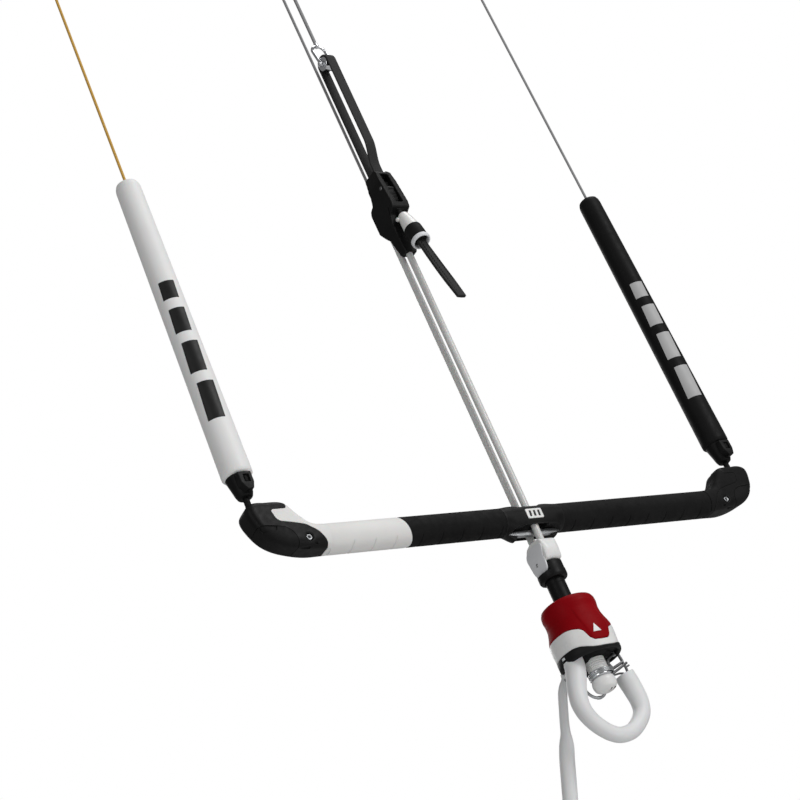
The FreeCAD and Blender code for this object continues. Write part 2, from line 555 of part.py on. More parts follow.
def release_sleeve():
    """Red push-away sleeve, white collar, latch pins and the spring inside."""
    keep(turned("release_sleeve", [(8.7, -83.4), (20.3, -83.4), (22.6, -84.6), (23.7, -87), (24, -90),
                                   (23.3, -95), (23.6, -100), (24.9, -105), (26.3, -109), (27.2, -112),
                                   (18.6, -112), (18.6, -88.4), (8.7, -88.4)]))
    keep(turned("sleeve_ring", [(8.4, -82), (10.6, -82), (11.4, -83.4), (8.4, -83.4)]))
    keep(turned("release_collar", [(18.6, -112), (27.2, -112), (27.5, -114), (27.4, -121), (26.8, -125),
                                   (7.6, -125), (7.6, -120.4), (18.6, -120.4)]))
    keep(group("latch_pins", *[cylinder("latch_pin_" + side, "1.5", "10.6", ("21", y, "-135.6"))
                               for side, y in (("front", "-5"), ("rear", "5"))]))
    outside = cylinder("spring_outside", "15.6", "25", ("0", "0", "-120.2"))
    keep(cut("release_spring", outside, cylinder("spring_inside", "12.6", "25", ("0", "0", "-120.2"))))


def chicken_loop():
    """Loop that hooks to the harness, its spindle and the wire bail on its free end."""
    stations = [(x, 0.0, z, dia) for x, z, dia in LOOP]
    tube = made("loop_tube", lofted(stations))
    hole = cylinder("loop_spindle_hole", "spindle_dia / 2", "16", ("-leg_in", "0", "-144"))
    keep(cut("chicken_loop", tube, hole))
    keep(cylinder("loop_spindle", "spindle_dia / 2", "18.2", ("-leg_in", "0", "-144")))
    keep(made("loop_bail", wire_link(BAIL, BAIL_WIRE)))


def finger():
    """Moulded finger that keeps the loop in the harness hook, with its pinned knuckle."""
    shank = made("finger_shank", lofted(FINGER))
    knuckle = sphere("finger_knuckle", "3.3", ("-14.8", "finger_back", "finger_pin"))
    solid = fuse("finger_solid", shank, knuckle)
    bore = cylinder("finger_bore", "1.2 + gap", "14", ("-21.8", "finger_back", "finger_pin"), "x")
    keep(cut("finger", solid, bore))


def leash_ring():
    keep(torus("leash_ring", "11", "1.25", ("3.2", "ring_back", "ring_pin - 11")))


kite_lines()
trim_strap()
cleat()
depower_tubes()
tail()
slider()
hub()
grips()
screws = horn("left", -1) + horn("right", 1)
keep(made("end_screws", Part.makeCompound(screws)))
steering_line("left", -1)
steering_line("right", 1)
swivel()
release_base()
release_sleeve()
chicken_loop()
finger()
leash_ring()

doc.recompute()
for obj in doc.Objects:
    if "Invalid" in obj.State or "Error" in obj.State:
        raise RuntimeError("%s failed to recompute: %s" % (obj.Name, obj.State))
os.makedirs("parts", exist_ok=True)
for stale in os.listdir("parts"):
    os.remove(os.path.join("parts", stale))
broken = [obj.Label for obj in nodes if obj.Shape.isNull() or not obj.Shape.isValid()]
if broken:
    raise RuntimeError("no valid shape: " + ", ".join(broken))
for obj in nodes:
    obj.Shape.exportStep(os.path.join("parts", obj.Label + ".step"))
    print("%-24s solids %d  volume %9.1f" % (obj.Label, len(obj.Shape.Solids), obj.Shape.Volume))
print(len(nodes), "sub-parts")
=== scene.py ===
"""Looks of the kite control bar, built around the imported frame.

Lengths in this script are millimetres with heights counted from the bar's axis, as in the part's
source, and become metres in the row frame where a mesh or curve is made.
"""
import math

import bmesh
import bpy
import numpy as np
from mathutils import Matrix, Vector


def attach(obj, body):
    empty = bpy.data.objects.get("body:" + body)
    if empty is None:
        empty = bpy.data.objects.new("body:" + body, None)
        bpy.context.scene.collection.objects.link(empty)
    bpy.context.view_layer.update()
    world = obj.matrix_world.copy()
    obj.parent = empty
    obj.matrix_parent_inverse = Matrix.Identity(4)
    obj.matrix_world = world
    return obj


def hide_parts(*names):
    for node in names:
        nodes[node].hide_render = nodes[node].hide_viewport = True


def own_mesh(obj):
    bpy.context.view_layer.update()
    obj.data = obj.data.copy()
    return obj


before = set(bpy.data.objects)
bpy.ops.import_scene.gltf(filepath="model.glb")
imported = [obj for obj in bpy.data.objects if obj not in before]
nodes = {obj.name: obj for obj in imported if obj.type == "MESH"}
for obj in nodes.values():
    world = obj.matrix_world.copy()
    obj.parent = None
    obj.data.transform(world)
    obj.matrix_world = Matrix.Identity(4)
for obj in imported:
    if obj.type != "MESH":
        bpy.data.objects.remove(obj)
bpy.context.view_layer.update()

scene = bpy.context.scene
REACH = 700.0


def place(x, y, z):
    """A point in millimetres from the bar's centre, as metres in the row frame."""
    return Vector((x / 1000, y / 1000, (z - REACH) / 1000))


def linked(name, data):
    """A new object in the scene."""
    obj = bpy.data.objects.new(name, data)
    scene.collection.objects.link(obj)
    return obj


def round_angles(count):
    return [2 * math.pi * k / count for k in range(count)]


def clamped(value):
    return max(0.0, min(1.0, value))


# ---------------------------------------------------------------- camera

CAMERA_AT = (-992.42, -1079.24, -598.35)
CAMERA_RIGHT = Vector((0.81675, -0.45365, -0.35654))
CAMERA_DOWN = Vector((-0.03445, 0.57848, -0.81497))
CAMERA_AHEAD = Vector((0.57596, 0.67791, 0.45685))
LENS_MM = 83.75

camera = linked("camera", bpy.data.cameras.new("camera"))
camera.data.lens = LENS_MM
camera.data.sensor_width = 36
camera.data.clip_start = 0.01
camera.data.clip_end = 50
turn = Matrix((CAMERA_RIGHT, -CAMERA_DOWN, -CAMERA_AHEAD)).transposed()
camera.matrix_world = Matrix.Translation(place(*CAMERA_AT)) @ turn.to_4x4()
scene.camera = camera


# ---------------------------------------------------------------- materials

def links_of(name):
    made = bpy.data.materials.new(name)
    made.use_nodes = True
    tree = made.node_tree
    return made, tree, tree.nodes["Principled BSDF"]


def add(tree, kind, **values):
    node = tree.nodes.new(kind)
    for key, value in values.items():
        if key in node.inputs:
            node.inputs[key].default_value = value
        else:
            setattr(node, key, value)
    return node


def noise(tree, coords, scale, detail=3.0, rough=0.55):
    node = add(tree, "ShaderNodeTexNoise", Scale=scale, Detail=detail, Roughness=rough)
    tree.links.new(coords, node.inputs["Vector"])
    return node.outputs["Fac"]


def ranged(tree, value, low, high, start=0.25, end=0.75):
    node = add(tree, "ShaderNodeMapRange")
    for key, number in (("From Min", start), ("From Max", end), ("To Min", low), ("To Max", high)):
        node.inputs[key].default_value = number
    tree.links.new(value, node.inputs["Value"])
    return node.outputs["Result"]


COLOUR_A, COLOUR_B, COLOUR_OUT = 6, 7, 2    # a colour mix node's own sockets, which share names


def mixed(tree, factor, first, second):
    node = add(tree, "ShaderNodeMix", data_type="RGBA")
    tree.links.new(factor, node.inputs["Factor"])
    node.inputs[COLOUR_A].default_value = (*first, 1)
    node.inputs[COLOUR_B].default_value = (*second, 1)
    return node.outputs[COLOUR_OUT]


def shaded(colour, share):
    return tuple(min(1.0, channel * share) for channel in colour)


def surface(name, colour, rough, grain, grain_height, mottle, metal=0.0, edge_highlight=0.0, scratch=0.0,
            transmission=0.0, specular=0.5, ior=1.45, subsurface=0.0):
    """Moulded, metal or rubber surface: mottled colour, uneven gloss and a fine grain."""
    made, tree, shader = links_of(name)
    coords = add(tree, "ShaderNodeTexCoord").outputs["Object"]
    broad = noise(tree, coords, 35.0, 4.0)
    fine = noise(tree, coords, grain, 2.0)
    base = mixed(tree, ranged(tree, broad, 0, 1), shaded(colour, 1 - mottle), shaded(colour, 1 + mottle))
    # Painted highlight: convex edges, found by pointiness, are mixed towards a lighter grey in patches of the
    # broad noise.
    if edge_highlight:
        edge = add(tree, "ShaderNodeNewGeometry").outputs["Pointiness"]
        painted_highlight = add(tree, "ShaderNodeMath", operation="MULTIPLY")
        tree.links.new(ranged(tree, edge, 0, edge_highlight, 0.505, 0.56), painted_highlight.inputs[0])
        tree.links.new(ranged(tree, broad, 0.2, 1), painted_highlight.inputs[1])
        over = add(tree, "ShaderNodeMix", data_type="RGBA")
        tree.links.new(painted_highlight.outputs[0], over.inputs["Factor"])
        tree.links.new(base, over.inputs[COLOUR_A])
        over.inputs[COLOUR_B].default_value = (*(0.5 * channel + 0.22 for channel in colour), 1)
        base = over.outputs[COLOUR_OUT]
    tree.links.new(base, shader.inputs["Base Color"])
    gloss = noise(tree, coords, 220.0, 3.0)
    tree.links.new(ranged(tree, gloss, rough * 0.82, min(1.0, rough * 1.2)), shader.inputs["Roughness"])
    height = fine
    if scratch:
        squeeze = add(tree, "ShaderNodeMapping")
        squeeze.inputs["Scale"].default_value = (1.0, 1.0, 14.0)
        tree.links.new(coords, squeeze.inputs["Vector"])
        height = noise(tree, squeeze.outputs["Vector"], scratch, 4.0)
    bump = add(tree, "ShaderNodeBump", Strength=0.6, Distance=grain_height / 1000)
    tree.links.new(height, bump.inputs["Height"])
    tree.links.new(bump.outputs["Normal"], shader.inputs["Normal"])
    for key, value in (("Metallic", metal), ("Transmission Weight", transmission), ("IOR", ior),
                       ("Specular IOR Level", specular), ("Subsurface Weight", subsurface)):
        shader.inputs[key].default_value = value
    if subsurface:
        shader.inputs["Subsurface Scale"].default_value = 0.002
    return made


YARN_HEIGHT = 0.12


def woven(name, colour, pitch, sheen=0.15, contrast=0.35):
    """Braid or webbing: two sets of yarns that cross."""
    made, tree, shader = links_of(name)
    coords = add(tree, "ShaderNodeTexCoord").outputs["Object"]
    waves = []
    for direction in ((1, 0, 1), (1, 0, -1)):
        scaled = add(tree, "ShaderNodeVectorMath", operation="DOT_PRODUCT")
        scaled.inputs[1].default_value = tuple(2 * math.pi * part * 1000 / pitch for part in direction)
        tree.links.new(coords, scaled.inputs[0])
        wave = add(tree, "ShaderNodeMath", operation="SINE")
        tree.links.new(scaled.outputs["Value"], wave.inputs[0])
        waves.append(wave.outputs[0])
    crossed = add(tree, "ShaderNodeMath", operation="MULTIPLY")
    tree.links.new(waves[0], crossed.inputs[0])
    tree.links.new(waves[1], crossed.inputs[1])
    yarns = ranged(tree, crossed.outputs[0], 0, 1, -1, 1)
    tree.links.new(mixed(tree, yarns, shaded(colour, 1 - contrast), shaded(colour, 1 + contrast)),
                   shader.inputs["Base Color"])
    fuzz = noise(tree, coords, 2600.0, 4.0)
    tree.links.new(ranged(tree, fuzz, 0.7, 0.9), shader.inputs["Roughness"])
    total = add(tree, "ShaderNodeMath", operation="MULTIPLY_ADD")
    tree.links.new(fuzz, total.inputs[0])
    total.inputs[1].default_value = 0.35
    tree.links.new(yarns, total.inputs[2])
    bump = add(tree, "ShaderNodeBump", Strength=0.9, Distance=YARN_HEIGHT / 1000)
    tree.links.new(total.outputs[0], bump.inputs["Height"])
    tree.links.new(bump.outputs["Normal"], shader.inputs["Normal"])
    shader.inputs["Sheen Weight"].default_value = sheen
    return made


SURFACES = {    # colour, roughness, grain scale, grain height in mm, mottle
    # black_nylon gets a painted highlight along its convex edges.
    "black_nylon": ((0.006, 0.006, 0.006), 0.45, 1500, 0.03, 0.25, {"edge_highlight": 0.06, "specular": 0.14}),
    "black_rubber": ((0.009, 0.009, 0.009), 0.6, 1100, 0.05, 0.2, {"specular": 0.12}),
    "black_foam": ((0.0075, 0.0075, 0.0075), 0.66, 900, 0.07, 0.3, {"specular": 0.12}),
    "white_foam": ((0.76, 0.755, 0.74), 0.6, 900, 0.06, 0.03, {"subsurface": 0.08, "specular": 0.3}),
    "white_float": ((0.80, 0.80, 0.795), 0.5, 700, 0.05, 0.02, {"subsurface": 0.08, "specular": 0.3}),
    "black_float": ((0.006, 0.006, 0.006), 0.55, 700, 0.06, 0.3, {"specular": 0.13}),
    "white_plastic": ((0.78, 0.78, 0.77), 0.3, 900, 0.012, 0.02, {"subsurface": 0.04, "specular": 0.4}),
    "grey_plastic": ((0.72, 0.73, 0.75), 0.38, 1300, 0.02, 0.03, {"specular": 0.35}),
    "red_plastic": ((0.235, 0.0012, 0.004), 0.5, 1400, 0.025, 0.1, {"specular": 0.06}),
    "clear_tube": ((0.66, 0.66, 0.65), 0.24, 300, 0.003, 0.02,
                   {"transmission": 0.08, "ior": 1.35, "subsurface": 0.1}),
    "white_pu": ((0.75, 0.755, 0.76), 0.42, 420, 0.04, 0.03, {"subsurface": 0.08, "specular": 0.35}),
    # Mid grey for the loop's cut end: painted shade, the loop itself being white_pu.
    "cut_pu": ((0.40, 0.41, 0.43), 0.6, 1500, 0.25, 0.25, {}),
    "chrome": ((0.70, 0.71, 0.73), 0.14, 300, 0.01, 0.04, {"metal": 1.0}),
    "steel": ((0.42, 0.43, 0.44), 0.42, 900, 0.01, 0.08, {"metal": 1.0, "scratch": 320}),
    "dark_steel": ((0.2, 0.2, 0.205), 0.4, 900, 0.01, 0.1, {"metal": 1.0, "scratch": 320}),
    "alloy": ((0.6, 0.61, 0.62), 0.35, 900, 0.01, 0.05, {"metal": 1.0, "scratch": 320}),
    "black_print": ((0.012, 0.012, 0.012), 0.45, 1500, 0.02, 0.2, {"specular": 0.3}),
    "white_print": ((0.42, 0.42, 0.42), 0.5, 1500, 0.02, 0.05, {"specular": 0.3}),
}
LOOKS = {name: surface(name, *values, **extras) for name, (*values, extras) in SURFACES.items()}
for name, colour, pitch in (("grey_line", (0.26, 0.26, 0.265), 1.7),
                            ("yellow_line", (0.60, 0.34, 0.05), 1.5),
                            ("load_line", (0.22, 0.22, 0.22), 1.7)):
    LOOKS[name] = woven(name, colour, pitch)
LOOKS["black_webbing"] = woven("black_webbing", (0.008, 0.008, 0.008), 1.3, sheen=0.0, contrast=0.4)


# ---------------------------------------------------------------- shapes

def from_shape(name, points, faces):
    mesh = bpy.data.meshes.new(name)
    mesh.from_pydata([place(*p) for p in points], [], faces)
    return linked(name, mesh)


def piece(name, points, faces, look, body, slot=None, sharp=38.0, stands_for=()):
    """Make a mesh object from points in millimetres and hang it on a body."""
    return dress(from_shape(name, points, faces), look, body, sharp, stands_for)


def dress(obj, look, body, sharp=38.0, stands_for=()):
    """Tidy a finished mesh, give it its material and hang it on a body."""
    work = bmesh.new()
    work.from_mesh(obj.data)
    bmesh.ops.remove_doubles(work, verts=work.verts, dist=1e-7)
    bmesh.ops.dissolve_degenerate(work, edges=work.edges, dist=1e-7)
    bmesh.ops.recalc_face_normals(work, faces=work.faces)
    work.to_mesh(obj.data)
    work.free()
    obj.data.materials.clear()
    obj.data.materials.append(LOOKS[look])
    obj.data.polygons.foreach_set("use_smooth", [True] * len(obj.data.polygons))
    obj.data.set_sharp_from_angle(angle=math.radians(sharp))
    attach(obj, body)
    if stands_for:
        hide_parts(*stands_for)
    return obj


def rounded(corners, radius, closed=False, steps=5):
    """Round the corners of a flat outline."""
    out = []
    count = len(corners)
    for i, corner in enumerate(corners):
        if not closed and i in (0, count - 1):
            out.append(tuple(corner))
            continue
        here = np.array(corner, float)
        before = np.array(corners[i - 1], float) - here
        after = np.array(corners[(i + 1) % count], float) - here
        cut = min(radius, 0.45 * np.linalg.norm(before), 0.45 * np.linalg.norm(after))
        start = here + before / (np.linalg.norm(before) + 1e-12) * cut
        end = here + after / (np.linalg.norm(after) + 1e-12) * cut
        for t in np.linspace(0, 1, steps + 1):
            point = (1 - t) ** 2 * start + 2 * t * (1 - t) * here + t ** 2 * end
            out.append(tuple(point))
    return out


def smooth_path(stations, per=8):
    """Points on a smooth curve through the stations, with any further values carried along."""
    pts = np.array(stations, float)
    padded = np.vstack([2 * pts[0] - pts[1], pts, 2 * pts[-1] - pts[-2]])
    out = []
    for i in range(1, len(padded) - 2):
        a, b, c, d = padded[i - 1:i + 3]
        for t in np.linspace(0, 1, per, endpoint=False):
            out.append(0.5 * (2 * b + (c - a) * t + (2 * a - 5 * b + 4 * c - d) * t ** 2
                              + (3 * b - a - 3 * c + d) * t ** 3))
    out.append(padded[-2])
    return np.array(out)


def skin(rings, closed=False, capped=True):
    """Join rings of equal point count into one surface."""
    points = [tuple(p) for ring in rings for p in ring]
    n = len(rings[0])
    faces = []
    last = len(rings) if closed else len(rings) - 1
    for i in range(last):
        low, high = i * n, ((i + 1) % len(rings)) * n
        for j in range(n):
            k = (j + 1) % n
            faces.append((low + j, low + k, high + k, high + j))
    if capped and not closed:
        faces.append(tuple(reversed(range(n))))
        faces.append(tuple(range((len(rings) - 1) * n, len(rings) * n)))
    return points, faces


UPRIGHT = Matrix.Identity(3)
ROLLER_AXIS = Matrix(((0, 0, 1), (1, 0, 0), (0, 1, 0)))


def turned(profile, at=(0, 0, 0), axis=UPRIGHT, segments=96, warp=None):
    """Revolve (radius, height) corners; a profile off the axis at both ends closes into a ring."""
    closed = profile[0][0] > 1e-6 and profile[-1][0] > 1e-6
    rings = []
    for radius, height in profile:
        ring = []
        for angle in round_angles(segments):
            r, h = (radius, height) if warp is None else warp(radius, height, angle)
            local = Vector((max(r, 1e-5) * math.cos(angle), max(r, 1e-5) * math.sin(angle), h))
            ring.append(tuple(axis @ local + Vector(at)))
        rings.append(ring)
    return skin(rings, closed=closed, capped=False)


def facing_out(side):
    """Turn a profile's axis to the left (-1) or the right (1)."""
    return Matrix(((0, 0, side), (0, 1, 0), (1, 0, 0)))


def hexagon_inside(reach):
    """A warp that makes a turned socket of this radius six-sided."""
    def warp(radius, height, angle):
        if radius > reach or radius < 0.1:
            return radius, height
        return radius * math.cos(math.pi / 6) / math.cos((angle % (math.pi / 3)) - math.pi / 6), height
    return warp


def tube(stations, segments=40, per=8, round_ends=(True, True)):
    """A smooth tube through (x, y, z, diameter) stations."""
    path = smooth_path(stations, per)
    centres = [Vector(p[:3]) for p in path]
    widths = [p[3] / 2 for p in path]
    side = None
    rings = []
    for i, centre in enumerate(centres):
        ahead = centres[min(i + 1, len(centres) - 1)] - centres[max(i - 1, 0)]
        ahead.normalize()
        if side is None:
            side = ahead.cross(Vector((0, 1, 0)) if abs(ahead.y) < 0.9 else Vector((1, 0,
                                                                                    0))).normalized()
        side = (side - ahead * side.dot(ahead)).normalized()
        other = ahead.cross(side)
        rings.append((centre, side.copy(), other, ahead.copy(), widths[i]))
    full = []
    cap = [(0.03, 1.0), (0.35, 0.94), (0.62, 0.79), (0.82, 0.58), (0.94, 0.33)]
    if round_ends[0]:
        centre, side, other, ahead, width = rings[0]
        for share, back in cap:
            full.append((centre - ahead * width * 0.75 * back, side, other, ahead, width * share))
    full += rings
    if round_ends[1]:
        centre, side, other, ahead, width = rings[-1]
        for share, back in reversed(cap):
            full.append((centre + ahead * width * 0.75 * back, side, other, ahead, width * share))
    loops = []
    for centre, side, other, _, width in full:
        loops.append([tuple(centre + (side * math.cos(a) + other * math.sin(a)) * width)
                      for a in round_angles(segments)])
    return skin(loops)


def slab(outline, low, high, plane="xz", bevel=0.5):
    """Extrude a flat outline between two depths and round its rim."""
    work = bmesh.new()
    verts = []
    for u, v in outline:
        verts.append(work.verts.new({"xz": (u, low, v), "yz": (low, u, v), "xy": (u, v, low)}[plane]))
    face = work.faces.new(verts)
    made = bmesh.ops.extrude_face_region(work, geom=[face])
    shift = {"xz": (0, high - low, 0), "yz": (high - low, 0, 0), "xy": (0, 0, high - low)}[plane]
    bmesh.ops.translate(work, vec=shift, verts=[g for g in made["geom"] if isinstance(g, bmesh.types.BMVert)])
    work.normal_update()
    if bevel:
        rim = [e for e in work.edges if any(len(f.verts) > 4 for f in e.link_faces)]
        bmesh.ops.bevel(work, geom=rim, offset=bevel, segments=3, profile=0.5, affect="EDGES",
                        clamp_overlap=True)
    work.verts.ensure_lookup_table()
    points = [tuple(v.co) for v in work.verts]
    index = {v: i for i, v in enumerate(work.verts)}
    faces = [tuple(index[v] for v in f.verts) for f in work.faces]
    work.free()
    return points, faces


def box_at(low, high, bevel=0.4):
    """A block between two corners with rounded edges."""
    outline = [(low[0], low[2]), (high[0], low[2]), (high[0], high[2]), (low[0], high[2])]
    return slab(rounded(outline, bevel * 2, closed=True, steps=3), low[1], high[1], "xz", bevel)


def joined(*parts):
    points, faces = [], []
    for some_points, some_faces in parts:
        start = len(points)
        points += list(some_points)
        faces += [tuple(i + start for i in face) for face in some_faces]
    return points, faces


def moved(part, matrix, at=(0, 0, 0)):
    points, faces = part
    return [tuple(matrix @ Vector(p) + Vector(at)) for p in points], faces


def baked(obj):
    """Make a piece's modifiers part of its mesh."""
    bpy.context.view_layer.update()
    held = obj.evaluated_get(bpy.context.evaluated_depsgraph_get())
    mesh = bpy.data.meshes.new_from_object(held)
    obj.modifiers.clear()
    obj.data = mesh
    return obj


def raw(name, part):
    """A mesh object still without a material or a body, as a blank or a cutting tool."""
    obj = from_shape(name, *part)
    work = bmesh.new()
    work.from_mesh(obj.data)
    bmesh.ops.recalc_face_normals(work, faces=work.faces)
    work.to_mesh(obj.data)
    work.free()
    return obj


def melted(obj, voxel, passes):
    """Join what overlaps into one skin of small faces and smooth its edges away."""
    remesh = obj.modifiers.new("remesh", "REMESH")
    remesh.mode = "VOXEL"
    remesh.voxel_size = voxel / 1000
    smooth = obj.modifiers.new("smooth", "SMOOTH")
    smooth.factor = 0.5
    smooth.iterations = passes
    return baked(obj)


def softened(name, sources, voxel, passes):
    """One closed mesh round the CAD nodes, with its edges melted as in a moulding."""
    work = bmesh.new()
    for source in sources:
        work.from_mesh(nodes[source].data)
    mesh = bpy.data.meshes.new(name)
    work.to_mesh(mesh)
    work.free()
    return melted(linked(name, mesh), voxel, passes)


def combine(obj, how, *parts):
    """Cut, join or intersect a mesh with other shapes, which are used up."""
    for count, part in enumerate(parts):
        other = part if isinstance(part, bpy.types.Object) else raw("%s_tool%d" % (obj.name, count), part)
        step = obj.modifiers.new("combine", "BOOLEAN")
        step.operation = how
        step.solver = "EXACT"
        step.object = other
        baked(obj)
        bpy.data.objects.remove(other)
    return obj


def copied(obj, name):
    return linked(name, obj.data.copy())


# ---------------------------------------------------------------- lines

def cord(name, stations, wire, look, body, node):
    """A taut line on its own NURBS spline."""
    data = bpy.data.curves.new(name, "CURVE")
    data.dimensions = "3D"
    data.bevel_depth = wire / 2000
    data.bevel_resolution = 6
    data.resolution_u = 24
    data.use_fill_caps = True
    spline = data.splines.new("NURBS")
    spline.points.add(len(stations) - 1)
    for point, station in zip(spline.points, stations):
        point.co = (*place(*station), 1)
    spline.order_u = 3
    spline.use_endpoint_u = True
    data.materials.append(LOOKS[look])
    obj = linked(name, data)
    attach(obj, body)
    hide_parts(node)
    return obj


def line_end(name, x, y, wire, look, body):
    """Knot and loop at the top of a line: a teardrop of line and three wraps round its foot."""
    foot = REACH - 32 - wire
    top = REACH - wire / 2
    mid = top - 13.5
    ring = [(x, y, foot + 3, wire)]
    for angle in range(-66, 247, 24):
        turn_by = math.radians(angle)
        ring.append((x + 13.5 * math.cos(turn_by), y, mid + 13.5 * math.sin(turn_by), wire))
    ring.append((x, y, foot + 3, wire))
    wraps = []
    radius = wire * 0.55 + 0.6
    for step in range(31):
        turn_by = 2 * math.pi * step / 10
        wraps.append((x + radius * math.cos(turn_by), y + radius * math.sin(turn_by),
                      foot + 0.6 + 6.6 * step / 30, wire * 0.8))
    core = tube([(x, y, foot - 0.5, wire), (x, y, foot + 4, wire * 1.15), (x, y, foot + 8, wire)], 20, 3)
    return piece(name, *joined(tube(ring, 20, 4), tube(wraps, 16, 3), core), look, body)


HALF_SPAN = 260.0
FRONT_Y, REAR_Y = -5.9, 5.9
LINES = (
    ("front_line", (0, -9.5), 543.8, 3.4, "grey_line", "kite_lines"),
    ("safety_line", (0, REAR_Y), 120.0, 2.8, "grey_line", "kite_lines"),
    ("left_steering_line", (-HALF_SPAN, 0), 61.0, 2.6, "yellow_line", "left_line"),
    ("right_steering_line", (HALF_SPAN, 0), 61.0, 2.6, "grey_line", "right_line"),
)
for name, (x, y), start, wire, look, body in LINES:
    end = REACH - 32 - wire
    run = cord(name + "_cord", [(x, y, start), (x, y, (start + end) / 2), (x, y, end)], wire, look, body,
               name)
    loop = line_end(name + "_end", x, y, wire, look, body)

# ---------------------------------------------------------------- floats and plugs

FLOAT_LOW, FLOAT_HIGH = 61.0, 363.0
TAPER_FROM, TAPER_TO = FLOAT_LOW + 5, FLOAT_HIGH - 7
LINE_PIVOT = 27.0


def float_radius(height):
    return 12.85 - 1.85 * (height - TAPER_FROM) / (TAPER_TO - TAPER_FROM)


def float_and_plug(side, x, look):
    """Tapered float, the plug under it with its catch, and the ribbed rubber leader."""
    body = side + "_line"
    profile = [(0, FLOAT_LOW), (9.5, FLOAT_LOW), (11.6, FLOAT_LOW + 0.9), (12.7, FLOAT_LOW + 2.4),
               (float_radius(TAPER_FROM), TAPER_FROM)]
    profile += [(float_radius(height), height)
                for height in TAPER_FROM + (TAPER_TO - TAPER_FROM) * np.linspace(0.05, 1, 24)]
    profile += [(10.6, FLOAT_HIGH - 4.4), (9.6, FLOAT_HIGH - 1.8), (7.8, FLOAT_HIGH - 0.4),
                (5.2, FLOAT_HIGH), (2.3, FLOAT_HIGH - 0.3), (1.5, FLOAT_HIGH - 1.6),
                (0, FLOAT_HIGH - 1.6)]
    piece(side + "_float_foam", *turned(profile, (x, 0, 0)), look, body, sharp=60,
          stands_for=[side + "_float"])
    plug = turned(rounded([(0, 42.0), (4.6, 42.0), (6.3, 43.2), (7.5, 46.6), (8.8, 53.0), (10.6, 61.0),
                           (10.6, 61.6), (0, 61.6)], 0.8), (x, 0, 0))
    clip_outline = rounded([(x - 2.6, 44.0), (x + 2.8, 44.4), (x + 5.0, 51.0), (x + 4.8, 60.2),
                            (x - 7.6, 60.2), (x - 6.6, 50.0)], 1.2, closed=True)
    clip = slab(clip_outline, -12.8, -5.0, "xz", 0.7)
    base = raw(side + "_plug_body", plug)
    combine(base, "UNION", clip)
    window = box_at((x - 3.4, -14, 50.6), (x + 2.2, -10.6, 57.8), 0.3)
    combine(base, "DIFFERENCE", window)
    dress(base, "black_nylon", body, stands_for=[side + "_plug"])
    pin = box_at((x - 1.8, -11.8, 51.8), (x + 0.4, -10.2, 56.8), 0.3)
    piece(side + "_plug_catch", *pin, "black_rubber", body)
    stem = [(0, LINE_PIVOT - 3.4), (2.4, LINE_PIVOT - 3.0), (3.2, LINE_PIVOT - 1.4), (3.35, LINE_PIVOT),
            (3.1, LINE_PIVOT + 1.6), (2.5, LINE_PIVOT + 3.0)]
    for ridge in range(5):
        height = LINE_PIVOT + 4.2 + 2.2 * ridge
        stem += [(2.6, height - 0.6), (2.75, height), (2.6, height + 0.6)]
    stem += [(2.6, 43.5), (0, 43.5)]
    piece(side + "_leader_stem", *turned(stem, (x, 0, 0), segments=40), "black_rubber", body,
          stands_for=[side + "_leader"])


def float_print(name, x, low, high, look, body, slot):
    """A thin slanted rectangle on the front of a float."""
    start, end, lean, cells = -152, -84, 0.25, 14
    outer, inner = [], []
    for i in range(cells + 1):
        height = low + (high - low) * i / cells
        for j in range(cells + 1):
            angle = math.radians(start + (end - start) * j / cells + lean * (height - low))
            for points, lift in ((outer, 0.1), (inner, -0.15)):
                r = float_radius(height) + lift
                points.append((x + r * math.cos(angle), r * math.sin(angle), height))
    wide = cells + 1
    count = len(outer)
    faces = []
    for i in range(cells):
        for j in range(cells):
            a = i * wide + j
            faces.append((a, a + 1, a + wide + 1, a + wide))
            faces.append((count + a, count + a + wide, count + a + wide + 1, count + a + 1))
    rim = ([j for j in range(cells)] + [i * wide + cells for i in range(cells)]
           + [cells * wide + j for j in range(cells, 0, -1)] + [i * wide for i in range(cells, 0, -1)])
    for a, b in zip(rim, rim[1:] + rim[:1]):
        faces.append((a, count + a, count + b, b))
    return piece(name, outer + inner, faces, look, body, slot)


float_and_plug("left", -HALF_SPAN, "white_float")
float_and_plug("right", HALF_SPAN, "black_float")

PRINT_BARS = [(112, 36), (158, 30), (198, 24), (232, 18)]    # foot and height of each
for side, x, look, slot in (("left", -HALF_SPAN, "black_print", "black_nylon"),
                            ("right", HALF_SPAN, "white_print", "white_plastic")):
    for number, (low, length) in enumerate(PRINT_BARS):
        float_print("%s_float_print_%d" % (side, number), x, low, low + length, look, side + "_line",
                    slot)

# ---------------------------------------------------------------- grips

GRIP_R = 12.6
SEAM = -131.0
SEAM_LEAN = 3.8


